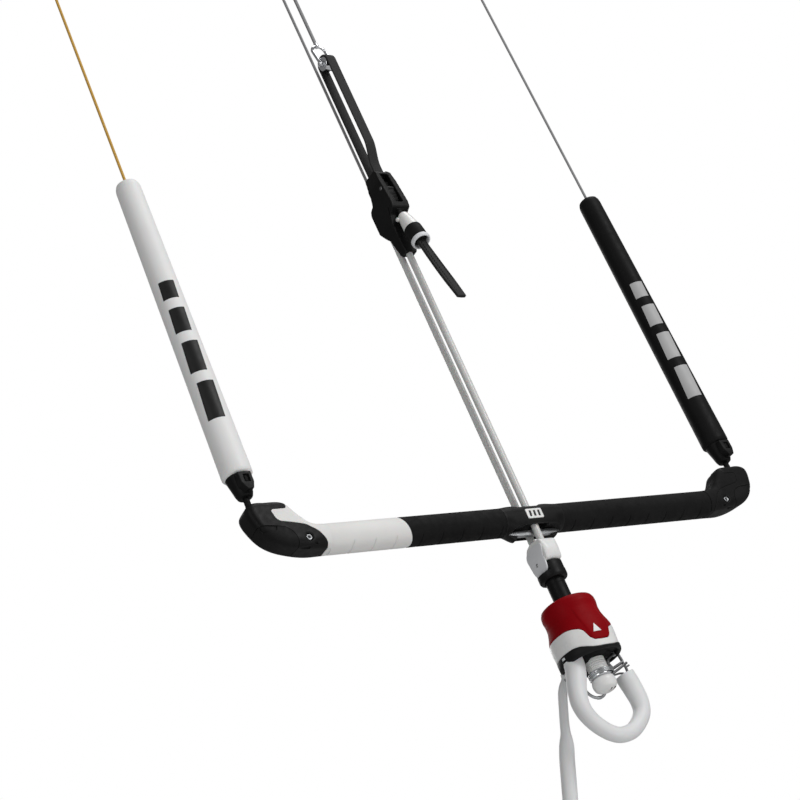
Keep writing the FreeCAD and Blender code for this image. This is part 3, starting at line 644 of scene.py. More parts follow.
def grip(name, x_low, x_high, look, grooves, node, seam=None):
    """Foam grip with fine ribs along it and curved grooves across its lower side."""
    spots = set(np.round(np.arange(x_low, x_high, 2.4), 3)) | {x_high}
    for centre in grooves:
        spots |= set(np.round(centre + np.arange(-3.6, 2.4, 0.3), 3))
    xs = sorted(s for s in spots if x_low <= s <= x_high)
    rings = []
    for x in xs:
        ring = []
        end = min(x - x_low, x_high - x)
        shrink = 0.3 * max(0.0, 1 - end / 0.9) ** 2
        for angle in round_angles(192):
            low_side = math.cos(angle - math.radians(270))
            rib = 0.07 * (0.5 + 0.5 * math.cos(64 * angle))
            radius = GRIP_R - shrink - rib
            reach_in = clamped((low_side - 0.6) / 0.14)
            for centre in grooves:
                off = abs(x - (centre + 1.5 - 2.0 * max(low_side, 0.0) ** 2))
                if off < 1.6 and reach_in:
                    radius -= 0.85 * math.exp(-(off / 0.6) ** 2) * reach_in
            slant = 0.0
            if seam is not None:
                slant = -SEAM_LEAN * math.sin(angle) * max(0.0, 1 - abs(x - seam) / 10)
            ring.append((x + slant, radius * math.cos(angle), radius * math.sin(angle)))
        rings.append(ring)
    piece(name, *skin(rings), look, "bar", sharp=70, stands_for=[node])


grip("left_grip_inner", SEAM, -31.0, "black_foam", [-118 + 20.5 * k for k in range(5)],
     "left_black_grip", SEAM)
grip("left_grip_outer", -205.0, SEAM, "white_foam", [-143.9 - 20.5 * k for k in range(3)],
     "left_white_grip", SEAM)
grip("right_grip", 31.0, 205.0, "black_foam", [42.8 + 21.2 * k for k in range(8)], "right_black_grip")

# ---------------------------------------------------------------- horns

COVER = [(300, 8.5), (262, 10.5), (250, 9.2), (243, 7.8), (238, 4), (235.4, -2), (235.4, -30), (300, -30)]
SADDLE = [(190, 60), (190, -30), (209.5, -30), (208.8, -12), (209.4, -7.5), (212.6, -2), (216, 3),
          (224, 8.5),
          (235, 11.2), (246, 13.3), (248.8, 16), (251, 24.2), (236, 24.2), (234, 60)]


SCREW_X, SCREW_Z = 225.0, -2.7
FRONT_OUT = Matrix(((1, 0, 0), (0, 0, 1), (0, -1, 0)))


def region(corners, sign, grow):
    """A through block in front view, with its outline moved outward by grow."""
    outline = np.array(rounded(corners, 3.0, closed=True, steps=6))
    ahead = np.roll(outline, -1, axis=0) - outline
    back = outline - np.roll(outline, 1, axis=0)
    along = ahead / (np.linalg.norm(ahead, axis=1)[:, None] + 1e-9)
    along += back / (np.linalg.norm(back, axis=1)[:, None] + 1e-9)
    along /= np.linalg.norm(along, axis=1)[:, None] + 1e-9
    area = np.sum(outline[:, 0] * np.roll(outline[:, 1], -1) - np.roll(outline[:, 0], -1) * outline[:, 1])
    outward = np.stack([along[:, 1], -along[:, 0]], axis=1) * np.sign(area)
    outline = outline + outward * grow
    return slab([(sign * x, z) for x, z in outline], -30, 30, "xz", 0)


def sided_box(sign, low, high, bevel):
    """A block given for the right end, or its mirror image for the left."""
    (a, *low_yz), (b, *high_yz) = low, high
    left, right = sorted((sign * a, sign * b))
    return box_at((left, *low_yz), (right, *high_yz), bevel)


def reshape_horn(obj, sign):
    """Round the neck into the grip, ease the top and widen the outer edge towards the front face."""
    for vertex in obj.data.vertices:
        x, y, z = (1000 * value for value in vertex.co)
        x, z = sign * x, z + REACH
        neck = clamped((224 - x) / 19)
        round_by = math.hypot(y, z)
        if round_by > GRIP_R and neck:
            pull = 1 + neck * (GRIP_R / round_by - 1)
            y, z = y * pull, z * pull
        rise = clamped((z - 18) / 14)
        z -= 1.5 * rise
        if x < 243:
            x += rise * (1.6 if y > 0 else -0.6) * (243 - x) / 12
        out_x, out_z = x - 243, z - 12
        reach = math.hypot(out_x, out_z)
        if x > 208 and reach > 1:
            facing = clamped(0.75 * out_x / reach - 0.66 * out_z / reach + 0.25)
            share = clamped((GRIP_R - y) / (2 * GRIP_R)) * min(1.0, (x - 208) / 12)
            grow = 3.4 * facing * share * min(1.0, reach / 14)
            x += grow * out_x / reach
            z += grow * out_z / reach
        vertex.co = (sign * x / 1000, y / 1000, (z - REACH) / 1000)


def horn(side, sign, saddle_look, grip_node):
    """Horn as one melted moulding, split into shell, lower cover and saddle by fine seams."""
    names = [side + "_end_shell", side + "_end_cover", side + "_end_saddle"]
    whole = softened(side + "_horn_whole", names + [grip_node], 0.8, 9)
    reshape_horn(whole, sign)
    combine(whole, "INTERSECT", sided_box(sign, (205.1, -40, -60), (320, 40, 80), 0.1))
    core = copied(whole, side + "_horn_core")
    shrunk = core.modifiers.new("shrink", "DISPLACE")
    shrunk.mid_level = 0
    shrunk.strength = -0.0009
    baked(core)
    cover = copied(whole, side + "_horn_cover")
    saddle = copied(whole, side + "_horn_saddle")
    shell = copied(whole, side + "_horn_shell")
    bpy.data.objects.remove(whole)
    combine(cover, "INTERSECT", region(COVER, sign, -0.3))
    combine(saddle, "INTERSECT", region(SADDLE, sign, -0.2))
    combine(shell, "DIFFERENCE", region(COVER, sign, 0.2), region(SADDLE, sign, 0.2))
    notch_outline = rounded([(265, 11.5), (249.6, 10.6), (251.6, 5.0), (263.4, 5.2)], 1.2, True)
    notch = slab([(sign * x, z) for x, z in notch_outline], -16, -8.4, "xz", 0.3)
    combine(cover, "DIFFERENCE", notch)
    combine(shell, "DIFFERENCE",
            turned([(0, -15), (3.1, -15), (3.1, -10.9), (0, -10.9)], (sign * SCREW_X, 0, SCREW_Z),
                   FRONT_OUT, 40),
            sided_box(sign, (225, -18, -16), (233, -6.0, -9.0), 0.3),
            sided_box(sign, (218.5, -18, -8.8), (221.5, -9.4, -7.4), 0.3))
    dress(core, "black_rubber", "bar")
    dress(cover, "black_rubber", "bar", stands_for=[names[1]])
    dress(saddle, saddle_look, "bar", stands_for=[names[2]])
    dress(shell, "black_nylon", "bar", stands_for=[names[0]])


horn("left", -1, "white_foam", "left_white_grip")
horn("right", 1, "black_foam", "right_black_grip")


def end_screw(x, face):
    """Countersunk screw with a bright rim and a hexagon socket, in one face of a horn."""
    depth = face * 11.75
    rim = rounded([(1.35, -0.3), (2.0, 0.0), (2.4, -0.1), (2.6, -0.6), (2.6, -4.0), (0, -4.0)], 0.15)
    socket = [(0, -2.2), (1.35, -2.2)]
    matrix = Matrix(((1, 0, 0), (0, 0, face), (0, 1, 0)))
    return turned(socket + rim, (x, depth, SCREW_Z), matrix, 48, hexagon_inside(1.4))


screws = joined(*[end_screw(x, face) for x in (-SCREW_X, SCREW_X) for face in (-1, 1)])
piece("horn_screws", *screws, "steel", "bar", stands_for=["end_screws"])

# ---------------------------------------------------------------- shackle, strap and cleat

ROLLER = (0, -12.65, 516.0)
BOW = (0, -9.5, 535.0)


def shackle():
    """Bow shackle with two flanged ears, a cross pin and the eye that the front line is tied to."""
    x, y, z = ROLLER
    top_x, top_y, top_z = BOW
    half, wire = 7.4, 3.0
    legs = [[(x + side * half, y, z, wire), (x + side * half, (y + top_y) / 2, (z + top_z) / 2, wire)]
            for side in (-1, 1)]
    arch = [(top_x + half * math.cos(math.radians(angle)), top_y,
             top_z + half * math.sin(math.radians(angle)), wire)
            for angle in range(180, -1, -20)]
    bow = legs[0] + arch + legs[1][::-1]
    ear = rounded([(0, -1.9), (2.6, -1.9), (3.2, -1.3), (3.2, 1.3), (2.6, 1.9), (0, 1.9)], 0.3)
    pin = rounded([(0, -9.9), (1.8, -9.9), (2.0, -9.2), (1.3, -9.0), (1.3, 9.0), (1.7, 9.2), (1.7, 10.0),
                   (0, 10.0)],
                  0.2)
    eye = rounded([(0, 0), (2.4, 0), (2.6, 1.2), (2.0, 3.0), (2.3, 4.2), (1.6, 4.8), (0, 4.8)], 0.4)
    piece("trim_shackle_forging", *joined(tube(bow, 28, 5),
                                          turned(ear, (x - half, y, z), ROLLER_AXIS, 40),
                                          turned(ear, (x + half, y, z), ROLLER_AXIS, 40),
                                          turned(pin, (x, y, z), ROLLER_AXIS, 32),
                                          turned(eye, (top_x, top_y, top_z + 6.4), segments=32)),
          "chrome", "kite_lines", stands_for=["trim_shackle"])
    wheel = rounded([(1.35, -5.5), (6.4, -5.5), (7.0, -5.1), (6.9, -4.2), (6.6, 0), (6.9, 4.2),
                     (7.0, 5.1),
                     (6.4, 5.5), (1.35, 5.5)], 0.2)
    piece("shackle_wheel", *turned(wheel, (x, y, z), ROLLER_AXIS, 72), "chrome", "kite_lines",
          stands_for=["shackle_roller"])


def ribbon(path, widths, thick):
    """Flat webbing along a path: soft edges, a shallow channel beside each edge and cross yarns."""
    half = [(-1.0, 0.0), (-0.97, 0.55), (-0.9, 0.85), (-0.8, 1.0), (-0.72, 0.86), (-0.62, 0.98),
            (-0.3, 1.0),
            (0, 1.02), (0.3, 1.0), (0.62, 0.98), (0.72, 0.86), (0.8, 1.0), (0.9, 0.85), (0.97, 0.55),
            (1.0, 0.0)]
    section = half + [(u, -v) for u, v in reversed(half[1:-1])]
    across = Vector((1, 0, 0))
    rings = []
    for i, point in enumerate(path):
        here = Vector(point)
        ahead = (Vector(path[min(i + 1, len(path) - 1)]) - Vector(path[max(i - 1, 0)])).normalized()
        normal = ahead.cross(across).normalized()
        ripple = 1 + 0.05 * (-1) ** i
        rings.append([tuple(here + across * (u * widths[i] / 2) + normal * (v * thick / 2 * ripple))
                      for u, v in section])
    return skin(rings)


def trim_strap():
    """Doubled webbing over the roller; below the roller its front strand draws in towards the rear one."""
    _, y, z = ROLLER
    foot, reach, width = 370, 8.15, 10.8
    path = []
    for height in np.arange(foot + 0.5, z, 1.6):
        share = clamped((height - 384) / 28)
        path.append((0, -14.5 - 6.3 * share * share * (3 - 2 * share), height))
    for angle in np.arange(180, -1, -7.5):
        turn_by = math.radians(angle)
        path.append((0, y + reach * math.cos(turn_by), z + reach * math.sin(turn_by)))
    path += [(0, y + reach, height) for height in np.arange(z - 1.0, foot, -1.6)]
    strap = piece("trim_strap_webbing", *ribbon(path, [width] * len(path), 1.95), "black_webbing",
                  "kite_lines", stands_for=["trim_strap"], sharp=60)
    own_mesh(strap)


shackle()
trim_strap()


def cleat():
    """Cleat body with melted edges, a slot for the cord, grip ribs and pin heads in its flanks."""
    body = softened("cleat_moulding", ["cleat_body"], 0.6, 7)
    groove_side = rounded([(-17.5, 332), (-16.3, 332), (-8.5, 303), (-9.7, 303)], 0.4, True)
    left_groove = slab(groove_side, -13, -9.35, "yz", 0)
    right_groove = moved(left_groove, Matrix.Diagonal((-1, 1, 1)))
    rear_step = box_at((-12, 6.9, 316), (12, 12, 317.2), 0.2)
    mouth = box_at((-5.9, -30, 373), (5.9, -13.2, 380), 0.3)
    combine(body, "DIFFERENCE", left_groove, right_groove, rear_step, mouth)
    dress(body, "black_nylon", "mainline", stands_for=["cleat_body"])
    head = rounded([(0, 0.5), (1.5, 0.5), (1.9, 0.1), (1.9, -0.9), (0, -0.9)], 0.25)
    heads = [turned(head, (side * 9.7, -18.4, 353), facing_out(side), 32) for side in (-1, 1)]
    piece("cleat_pin_heads", *joined(*heads), "dark_steel", "mainline", "steel")
    ribs = [box_at((-4.1, -20.9, z), (4.1, -18.9, z + 0.9), 0.25) for z in np.arange(326.6, 332.4, 1.9)]
    piece("cleat_lip_ribs", *joined(*ribs), "black_nylon", "mainline")
    lever = box_at((-3.7, -20.0, 337.4), (3.7, -17.2, 354.6), 0.8)
    teeth = [box_at((-3.5, -20.5, z), (3.5, -19.2, z + 0.9), 0.3) for z in np.arange(338.6, 349, 1.8)]
    drum_profile = rounded([(0, -3.75), (2.3, -3.75), (2.3, 3.75), (0, 3.75)], 0.4)
    drum = turned(drum_profile, (0, -18.4, 353), ROLLER_AXIS, 40)
    piece("cleat_cam_toothed", *joined(lever, drum, *teeth), "black_nylon", "cleat_cam",
          stands_for=["cleat_cam"])


cleat()

# ---------------------------------------------------------------- trim tail

TAIL_TILT = math.radians(12.3)
TAIL_DOWN = Vector((0, -math.sin(TAIL_TILT), -math.cos(TAIL_TILT)))
TAIL_START = Vector((0, -18.5, 325))
TAIL_AXIS = Matrix.Rotation(math.pi - TAIL_TILT, 3, "X")


def trim_tail():
    """Pull of the trim cord: cone, rubber sleeve, ring and a doubled webbing tab with a slanted end."""
    at = tuple(TAIL_START)
    cone_profile = rounded([(0, 4.2), (3.4, 4.2), (4.9, 5.6), (6.3, 12), (7.9, 24), (8.0, 25.6),
                            (0, 25.6)], 1.6)
    piece("tail_cone_cup", *turned(cone_profile, at, TAIL_AXIS), "white_plastic", "trim_tail",
          stands_for=["tail_cone"])
    sleeve = rounded([(0, 24.8), (8.1, 24.8), (8.6, 25.8), (8.7, 33), (8.5, 40.4), (0, 40.4)], 0.7)
    piece("tail_sleeve_rubber", *turned(sleeve, at, TAIL_AXIS), "black_rubber", "trim_tail",
          "black_nylon",
          stands_for=["tail_sleeve"])
    ring = rounded([(6.9, 40.2), (8.9, 40.2), (9.2, 41.2), (9.1, 43.4), (8.3, 44.6), (7.2, 44.4),
                    (6.9, 42.4)], 0.5)
    piece("tail_ring_moulding", *turned(ring, at, TAIL_AXIS), "grey_plastic", "trim_tail",
          stands_for=["tail_ring"])
    path, widths = [], []
    for distance in np.arange(39.0, 122.6, 1.5):
        sway = 0.5 * math.sin((distance - 36) / 22)
        point = TAIL_START + TAIL_DOWN * distance + Vector((0, 0.9 * sway, 0))
        path.append(tuple(point))
        share = (distance - 39) / 83
        widths.append(9.0 + 2.0 * math.sin(min(1.0, share * 1.5) * math.pi / 2) - 1.7 * max(0.0,
                                                                                            share - 0.72) / 0.28)
    tab = raw("tail_tab_webbing", ribbon(path, widths, 3.3))
    end = Vector(path[-1])
    corner = slab([(-12, end.z + 1.4), (12, end.z - 2.2), (12, end.z - 20), (-12, end.z - 20)],
                  end.y - 12, end.y + 12, "xz", 0)
    combine(tab, "DIFFERENCE", corner)
    dress(tab, "black_webbing", "trim_tail", stands_for=["tail_tab"], sharp=60)
    stitches = []
    for distance in np.arange(47, 115, 3.2):
        _, y, z = TAIL_START + TAIL_DOWN * distance
        for x in (-2.7, 2.7):
            stitches.append(box_at((x - 0.3, y - 1.95, z - 0.9), (x + 0.3, y - 1.4, z + 0.9), 0.15))
    piece("tail_stitches", *joined(*stitches), "black_rubber", "trim_tail", "black_webbing")
    cord_path = [(*(TAIL_START + TAIL_DOWN * d), 3.9) for d in np.arange(-8, 6, 2.0)]
    piece("trim_cord_braid", *tube(cord_path, 24, 3), "black_webbing", "trim_tail",
          stands_for=["trim_cord"])
    bead = rounded([(0, -2.0), (1.5, -1.8), (2.3, 0), (1.5, 1.8), (0, 2.0)], 0.6)
    piece("tail_bead", *turned(bead, (-6.4, -18.2, 315.6), TAIL_AXIS, 32), "clear_tube", "trim_tail")
    stalk = tube([(-6.4, -18.2, 315.6, 1.2), (-4.6, -18.6, 317.6, 1.2), (-3.0, -18.8, 319.8, 1.2)], 14, 4)
    piece("tail_bead_stalk", *stalk, "dark_steel", "trim_tail", "steel")


trim_tail()

# ---------------------------------------------------------------- tubes and hub

for name, y, top in (("front_tube", FRONT_Y, 320), ("rear_tube", REAR_Y, 340)):
    wall = [(2.1, -31.4), (2.3, -31.9), (3.0, -31.9), (3.2, -31.4)]
    wall += [(3.2 + 0.015 * (-1) ** k, z) for k, z in enumerate(np.arange(-28, top - 2, 8.0))]
    wall += [(3.2, top - 0.6), (3.0, top - 0.1), (2.3, top - 0.1), (2.1, top - 0.6)]
    piece(name + "_extrusion", *turned(wall, (0, y, 0), segments=56), "clear_tube", "mainline",
          stands_for=[name])


def panel(half_wide, half_high, rounding, low, high, bevel):
    """A flat rounded rectangle on the front of the hub."""
    corners = [(-half_wide, -half_high), (half_wide, -half_high), (half_wide, half_high),
               (-half_wide, half_high)]
    return slab(rounded(corners, rounding, True), low, high, "xz", bevel)


def slanted_bars(inset, low, high, bevel):
    """Three leaning bars: the plate's own plain pattern."""
    bars = []
    for x in (-4.6, 0.0, 4.6):
        left, right, top = x - 1.5 + inset, x + 1.5 - inset, 2.9 - 2 * inset
        corners = [(left, -top), (right - 0.6, -top), (right, top), (left + 0.6, top)]
        bars.append(slab(rounded(corners, 0.5, True), low, high, "xz", bevel))
    return bars


def hub():
    """Centre moulding with its flared slot, a flush plate and the wear strip in the front opening."""
    rings = []
    for x in np.linspace(-31.0, 31.0, 63):
        share = clamped((30 - abs(x)) / 11)
        deep = share * share * (3 - 2 * share)
        end = max(0.0, 1 - (31.0 - abs(x)) / 0.8)
        ring = []
        for angle in round_angles(160):
            below = max(0.0, -math.sin(angle)) ** 2.2
            above = max(0.0, math.sin(angle)) ** 2
            radius = GRIP_R + 0.05 + deep * (5.9 * below + 0.9 * above) - 0.1 * end ** 2
            ring.append((x, radius * math.cos(angle), radius * math.sin(angle)))
        rings.append(ring)
    body = raw("hub_moulding", skin(rings))
    flare = slab(rounded([(-27, -24), (27, -24), (10, -6), (10, 6), (24, 22), (-24, 22), (-10, 6),
                          (-10, -6)],
                         4.0, True), -9.7, 9.7, "xz", 0)
    front_lens = slab(rounded([(-28.5, -13.2), (-20, -9.4), (0, -8.8), (20, -9.4), (28.5, -13.2),
                               (30, -30),
                               (-30, -30)], 3.0, True), -30, -1.4, "xz", 0)
    combine(body, "DIFFERENCE", flare, front_lens, panel(8.7, 4.9, 1.2, -16, -11.9, 0))
    dress(body, "black_nylon", "bar", stands_for=["centre_hub"])
    plate = raw("hub_plate", panel(8.4, 4.6, 1.1, -12.95, -11.6, 0.3))
    combine(plate, "DIFFERENCE", *slanted_bars(0, -14, -12.6, 0))
    dress(plate, "white_plastic", "bar", stands_for=["hub_badge"])
    infill = slanted_bars(0.05, -12.7, -12.3, 0.05)
    piece("hub_plate_bars", *joined(*infill), "black_print", "bar", "black_nylon")
    strip = [(-28.5, -12.6), (-23, -14.2), (-15, -15.0), (15, -15.0), (23, -14.2), (28.5, -12.6),
             (22, -10.9),
             (14, -10.4), (-14, -10.4), (-22, -10.9)]
    piece("wear_strip", *slab(rounded(strip, 1.0, True), -2.6, 1.2, "xz", 0.5), "steel", "bar",
          stands_for=["wear_bar"])


hub()

# ---------------------------------------------------------------- swivel

PLATE_SIDE = [(-13.2, -29.2), (-8.4, -26.6), (-2, -26), (6, -26.8), (10, -28.4), (12.2, -32.5),
              (10.2, -47.2),
              (7.7, -52.2), (-7.6, -51.4), (-9.3, -46.4), (-9.6, -37.7)]


PLATE_SCREW = (2.2, -42)


def swivel():
    """White dome over both tubes, a plate on each flank with its screw, and the black turning body."""
    side = rounded([(-12.6, -44), (-15.2, -34), (-13.0, -24.4), (-5, -22.0), (3, -22.0), (9.5, -24.4),
                    (13.2, -33),
                    (12.6, -44)], 4.5, True)
    dome = raw("swivel_dome", slab(side, -8.1, 9.1, "yz", 1.2))
    column = turned([(0, -46.2), (13.6, -46.2), (14.6, -40), (15.1, -34), (14.9, -18), (0, -18)],
                    (0, -0.3, 0))
    combine(dome, "INTERSECT", column)
    melted(dome, 0.55, 22)
    dress(dome, "white_plastic", "mainline", stands_for=["swivel_housing"])
    plates = []
    for low, high, share in ((-8.9, -7.2, 1.0), (7.2, 9.4, 0.84)):
        outline = [(share * y, -40 + share * (z + 40)) for y, z in PLATE_SIDE]
        blank = raw("plate", slab(rounded(outline, 2.6, True), low, high, "yz", 0.5))
        hole = turned([(0, -12), (1.7, -12), (1.7, 12), (0, 12)], (0, *PLATE_SCREW), ROLLER_AXIS, 36)
        combine(blank, "DIFFERENCE", hole)
        plates.append(blank)
    combine(plates[0], "UNION", plates[1])
    plates[0].name = "swivel_side_plates"
    dress(plates[0], "grey_plastic", "mainline", stands_for=["swivel_plates"])

    head = [(0, -1.4), (0.95, -1.4), (0.95, -0.2), (1.3, 0), (1.62, -0.3), (1.62, -6), (0, -6)]
    heads = [turned(head, (side_sign * 8.4, *PLATE_SCREW), facing_out(side_sign), 36, hexagon_inside(1.0))
             for side_sign in (-1, 1)]
    piece("housing_screw_heads", *joined(*heads), "dark_steel", "mainline", "steel",
          stands_for=["housing_screw"])
    outer = rounded([(0, -44), (11.9, -44), (12.5, -45), (12.5, -57.4), (11.7, -59.0), (8.9, -59.2),
                     (8.4, -58.6), (8.4, -54.3), (0, -54.3)], 0.6)
    cup = raw("swivel_cup", turned(outer))
    combine(cup, "DIFFERENCE", box_at((7.25, -20, -52.6), (20, 20, -40), 0.2),
            box_at((-20, -20, -52.6), (-7.25, 20, -40), 0.2))
    dress(cup, "black_nylon", "mainline", stands_for=["swivel_body"])
    shaft = rounded([(0, -54.5), (8.2, -54.5), (8.2, -63.2), (8.0, -63.6), (8.2, -64.0), (8.2, -91.0),
                     (16, -92),
                     (16, -94.8), (7.3, -95.2), (7.3, -135.5), (0, -135.5)], 0.3)
    piece("release_shaft", *turned(shaft), "black_nylon", "quick_release", stands_for=["swivel_shaft"])


swivel()

# ---------------------------------------------------------------- quick release

SLEEVE_OUT = [(-82, 18.6), (-82.2, 20.3), (-83.4, 22.4), (-86, 23.7), (-89.5, 24), (-95, 23.3),
              (-100, 23.6),
              (-105, 24.9), (-109, 26.3), (-112, 27.1), (-116, 27.4), (-121, 27.3), (-125, 27.0),
              (-129, 26.7), (-134, 26.4), (-140, 26.2)]
SLEEVE_EDGE = [(-180, -111.5), (-155, -111.5), (-147, -112.0), (-140, -112.8), (-130, -114.5),
               (-124, -116.8),
               (-120.7, -120.2), (-117.6, -124), (-110, -127.1), (-97, -127.8), (-83, -127.6),
               (-77, -125.6),
               (-74, -120.6), (-67, -117.5), (-44, -113.8), (-20, -112), (10, -111.5), (180, -111.5)]
COLLAR_EDGE = [(-180, -127.3), (-154, -127.3), (-141, -128.3), (-130, -130.2), (-119, -132.4),
               (-107, -133.4),
               (-89, -133.6), (-75, -133.3), (-58, -131.6), (-44, -129.7), (-25, -127.8), (0, -127.3),
               (180, -127.3)]


def curve_at(table, value, smooth):
    """A table's value, averaged over a little of its course so that its corners are round."""
    keys, values = zip(*table)
    spread = np.linspace(-smooth, smooth, 9)
    return float(np.mean(np.interp(value + spread, keys, values)))


def outside_at(z):
    """Outer radius of the sleeve and what carries on its line below it."""
    keys, values = zip(*reversed(SLEEVE_OUT))
    return float(np.interp(z, keys, values))


def signed(angle):
    degrees = math.degrees(angle)
    return degrees - 360 if degrees > 180 else degrees


def soft_step(value, edge, width):
    return 1 / (1 + math.exp(-max(-40, min(40, (value - edge) / width))))


def tab_lift(degrees, z):
    """How far the pressed panel over the front of the sleeve stands out."""
    crease = -123 + (z + 101.5) * -0.38
    inside = soft_step(degrees, crease, 0.7) * soft_step(-degrees, 72, 0.7)
    return 0.55 * inside * soft_step(-z, 96, 1.6)


ROUND = 240


def shell_of(top, bottom, wall, steps, lift=None):
    """A round wall whose top and bottom edges rise and fall with the angle."""
    shares = np.linspace(0, 1, steps)
    rings = []
    for kind in ("outer", "inner"):
        for share in shares if kind == "outer" else shares[::-1]:
            ring = []
            for angle in round_angles(ROUND):
                degrees = signed(angle)
                high, low = top(degrees), bottom(degrees)
                z = high + (low - high) * share
                r = outside_at(z)
                edge = min(z - low, high - z)
                if kind == "outer":
                    r += lift(degrees, z) if lift else 0
                    r -= 0.35 * max(0.0, 1 - edge / 0.5) ** 2
                else:
                    r -= wall
                ring.append((r * math.cos(angle), r * math.sin(angle), z))
            rings.append(ring)
    return skin(rings, closed=True)


def sleeve_low(degrees):
    return curve_at(SLEEVE_EDGE, degrees, 1.2)


def collar_low(degrees):
    return curve_at(COLLAR_EDGE, degrees, 3)


def release_handle():
    """Red push-away sleeve with its pressed tab and marker, the collar under it and the top ring."""
    sleeve = shell_of(lambda d: -82.1, sleeve_low, 2.2, 64, lift=tab_lift)
    top = turned(rounded([(8.8, -82.1), (19.2, -82.0), (20.4, -82.2), (21.2, -83.1), (19.5, -88.0),
                          (8.8, -88.0)],
                         0.5))
    piece("release_sleeve_grip", *joined(sleeve, top), "red_plastic", "release_handle", sharp=50,
          stands_for=["release_sleeve"])
    collar = shell_of(lambda d: sleeve_low(d) - 0.3, collar_low, 1.1, 26)
    floor_ring = turned(rounded([(7.7, -120.6), (26, -120.6), (26, -122.6), (7.7, -122.6)], 0.3))
    piece("release_collar_skirt", *joined(collar, floor_ring), "white_plastic", "release_handle",
          sharp=50,
          stands_for=["release_collar"])
    ring = rounded([(8.45, -80.4), (9.2, -79.6), (10.4, -79.7), (11.0, -80.8), (11.2, -82.4),
                    (8.45, -82.4)], 0.3)
    piece("sleeve_top_ring", *turned(ring), "white_plastic", "release_handle", stands_for=["sleeve_ring"])
    marker()


def marker():
    """Raised triangle on the sleeve's tab, pointing up; its corners are in degrees and heights."""
    corners = [(-101.7, -114.2), (-107.8, -121.2), (-92.8, -121.6)]
    points, faces = [], []
    rows = 8
    for layer, lift in ((0, 0.12), (1, -0.2)):
        for i in range(rows + 1):
            for j in range(i + 1):
                down = i / rows
                along = j / i if i else 0
                base = [corners[1][n] + (corners[2][n] - corners[1][n]) * along for n in (0, 1)]
                degrees, z = [corners[0][n] + (base[n] - corners[0][n]) * down for n in (0, 1)]
                r = outside_at(z) + tab_lift(degrees, z) + lift
                points.append((r * math.cos(math.radians(degrees)), r * math.sin(math.radians(degrees)),
                               z))
    count = len(points) // 2

    def spot(i, j, layer):
        return layer * count + i * (i + 1) // 2 + j

    for layer in (0, 1):
        for i in range(rows):
            for j in range(i + 1):
                faces.append((spot(i, j, layer), spot(i + 1, j, layer), spot(i + 1, j + 1, layer)))
                if j < i:
                    faces.append((spot(i, j, layer), spot(i + 1, j + 1, layer), spot(i, j + 1, layer)))
    rim = [(i, 0) for i in range(rows)] + [(rows, j) for j in range(rows)] + [(i, i) for i in range(rows,
                                                                                                    0, -1)]
    for a, b in zip(rim, rim[1:] + rim[:1]):
        faces.append((spot(*a, 0), spot(*b, 0), spot(*b, 1), spot(*a, 1)))
    piece("release_marker", points, faces, "white_plastic", "release_handle")


release_handle()


def handle_spring():
    """Coil spring between the shaft's flange and the collar."""
    low, high, turns, radius, wire, shortened = -119.4, -95.8, 4, 13.8, 1.5, 18.4
    path = []
    for share in np.linspace(0, 1, turns * 24 + 1):
        turn_by = 2 * math.pi * turns * share
        path.append((radius * math.cos(turn_by), radius * math.sin(turn_by), low + (high - low) * share,
                     wire))
    spring = piece("handle_spring_coil", *tube(path, 14, 1), "steel", "quick_release",
                   stands_for=["release_spring"])
    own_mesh(spring)


handle_spring()

STUB = (0, -3, 0)
LEG_X = -18.0


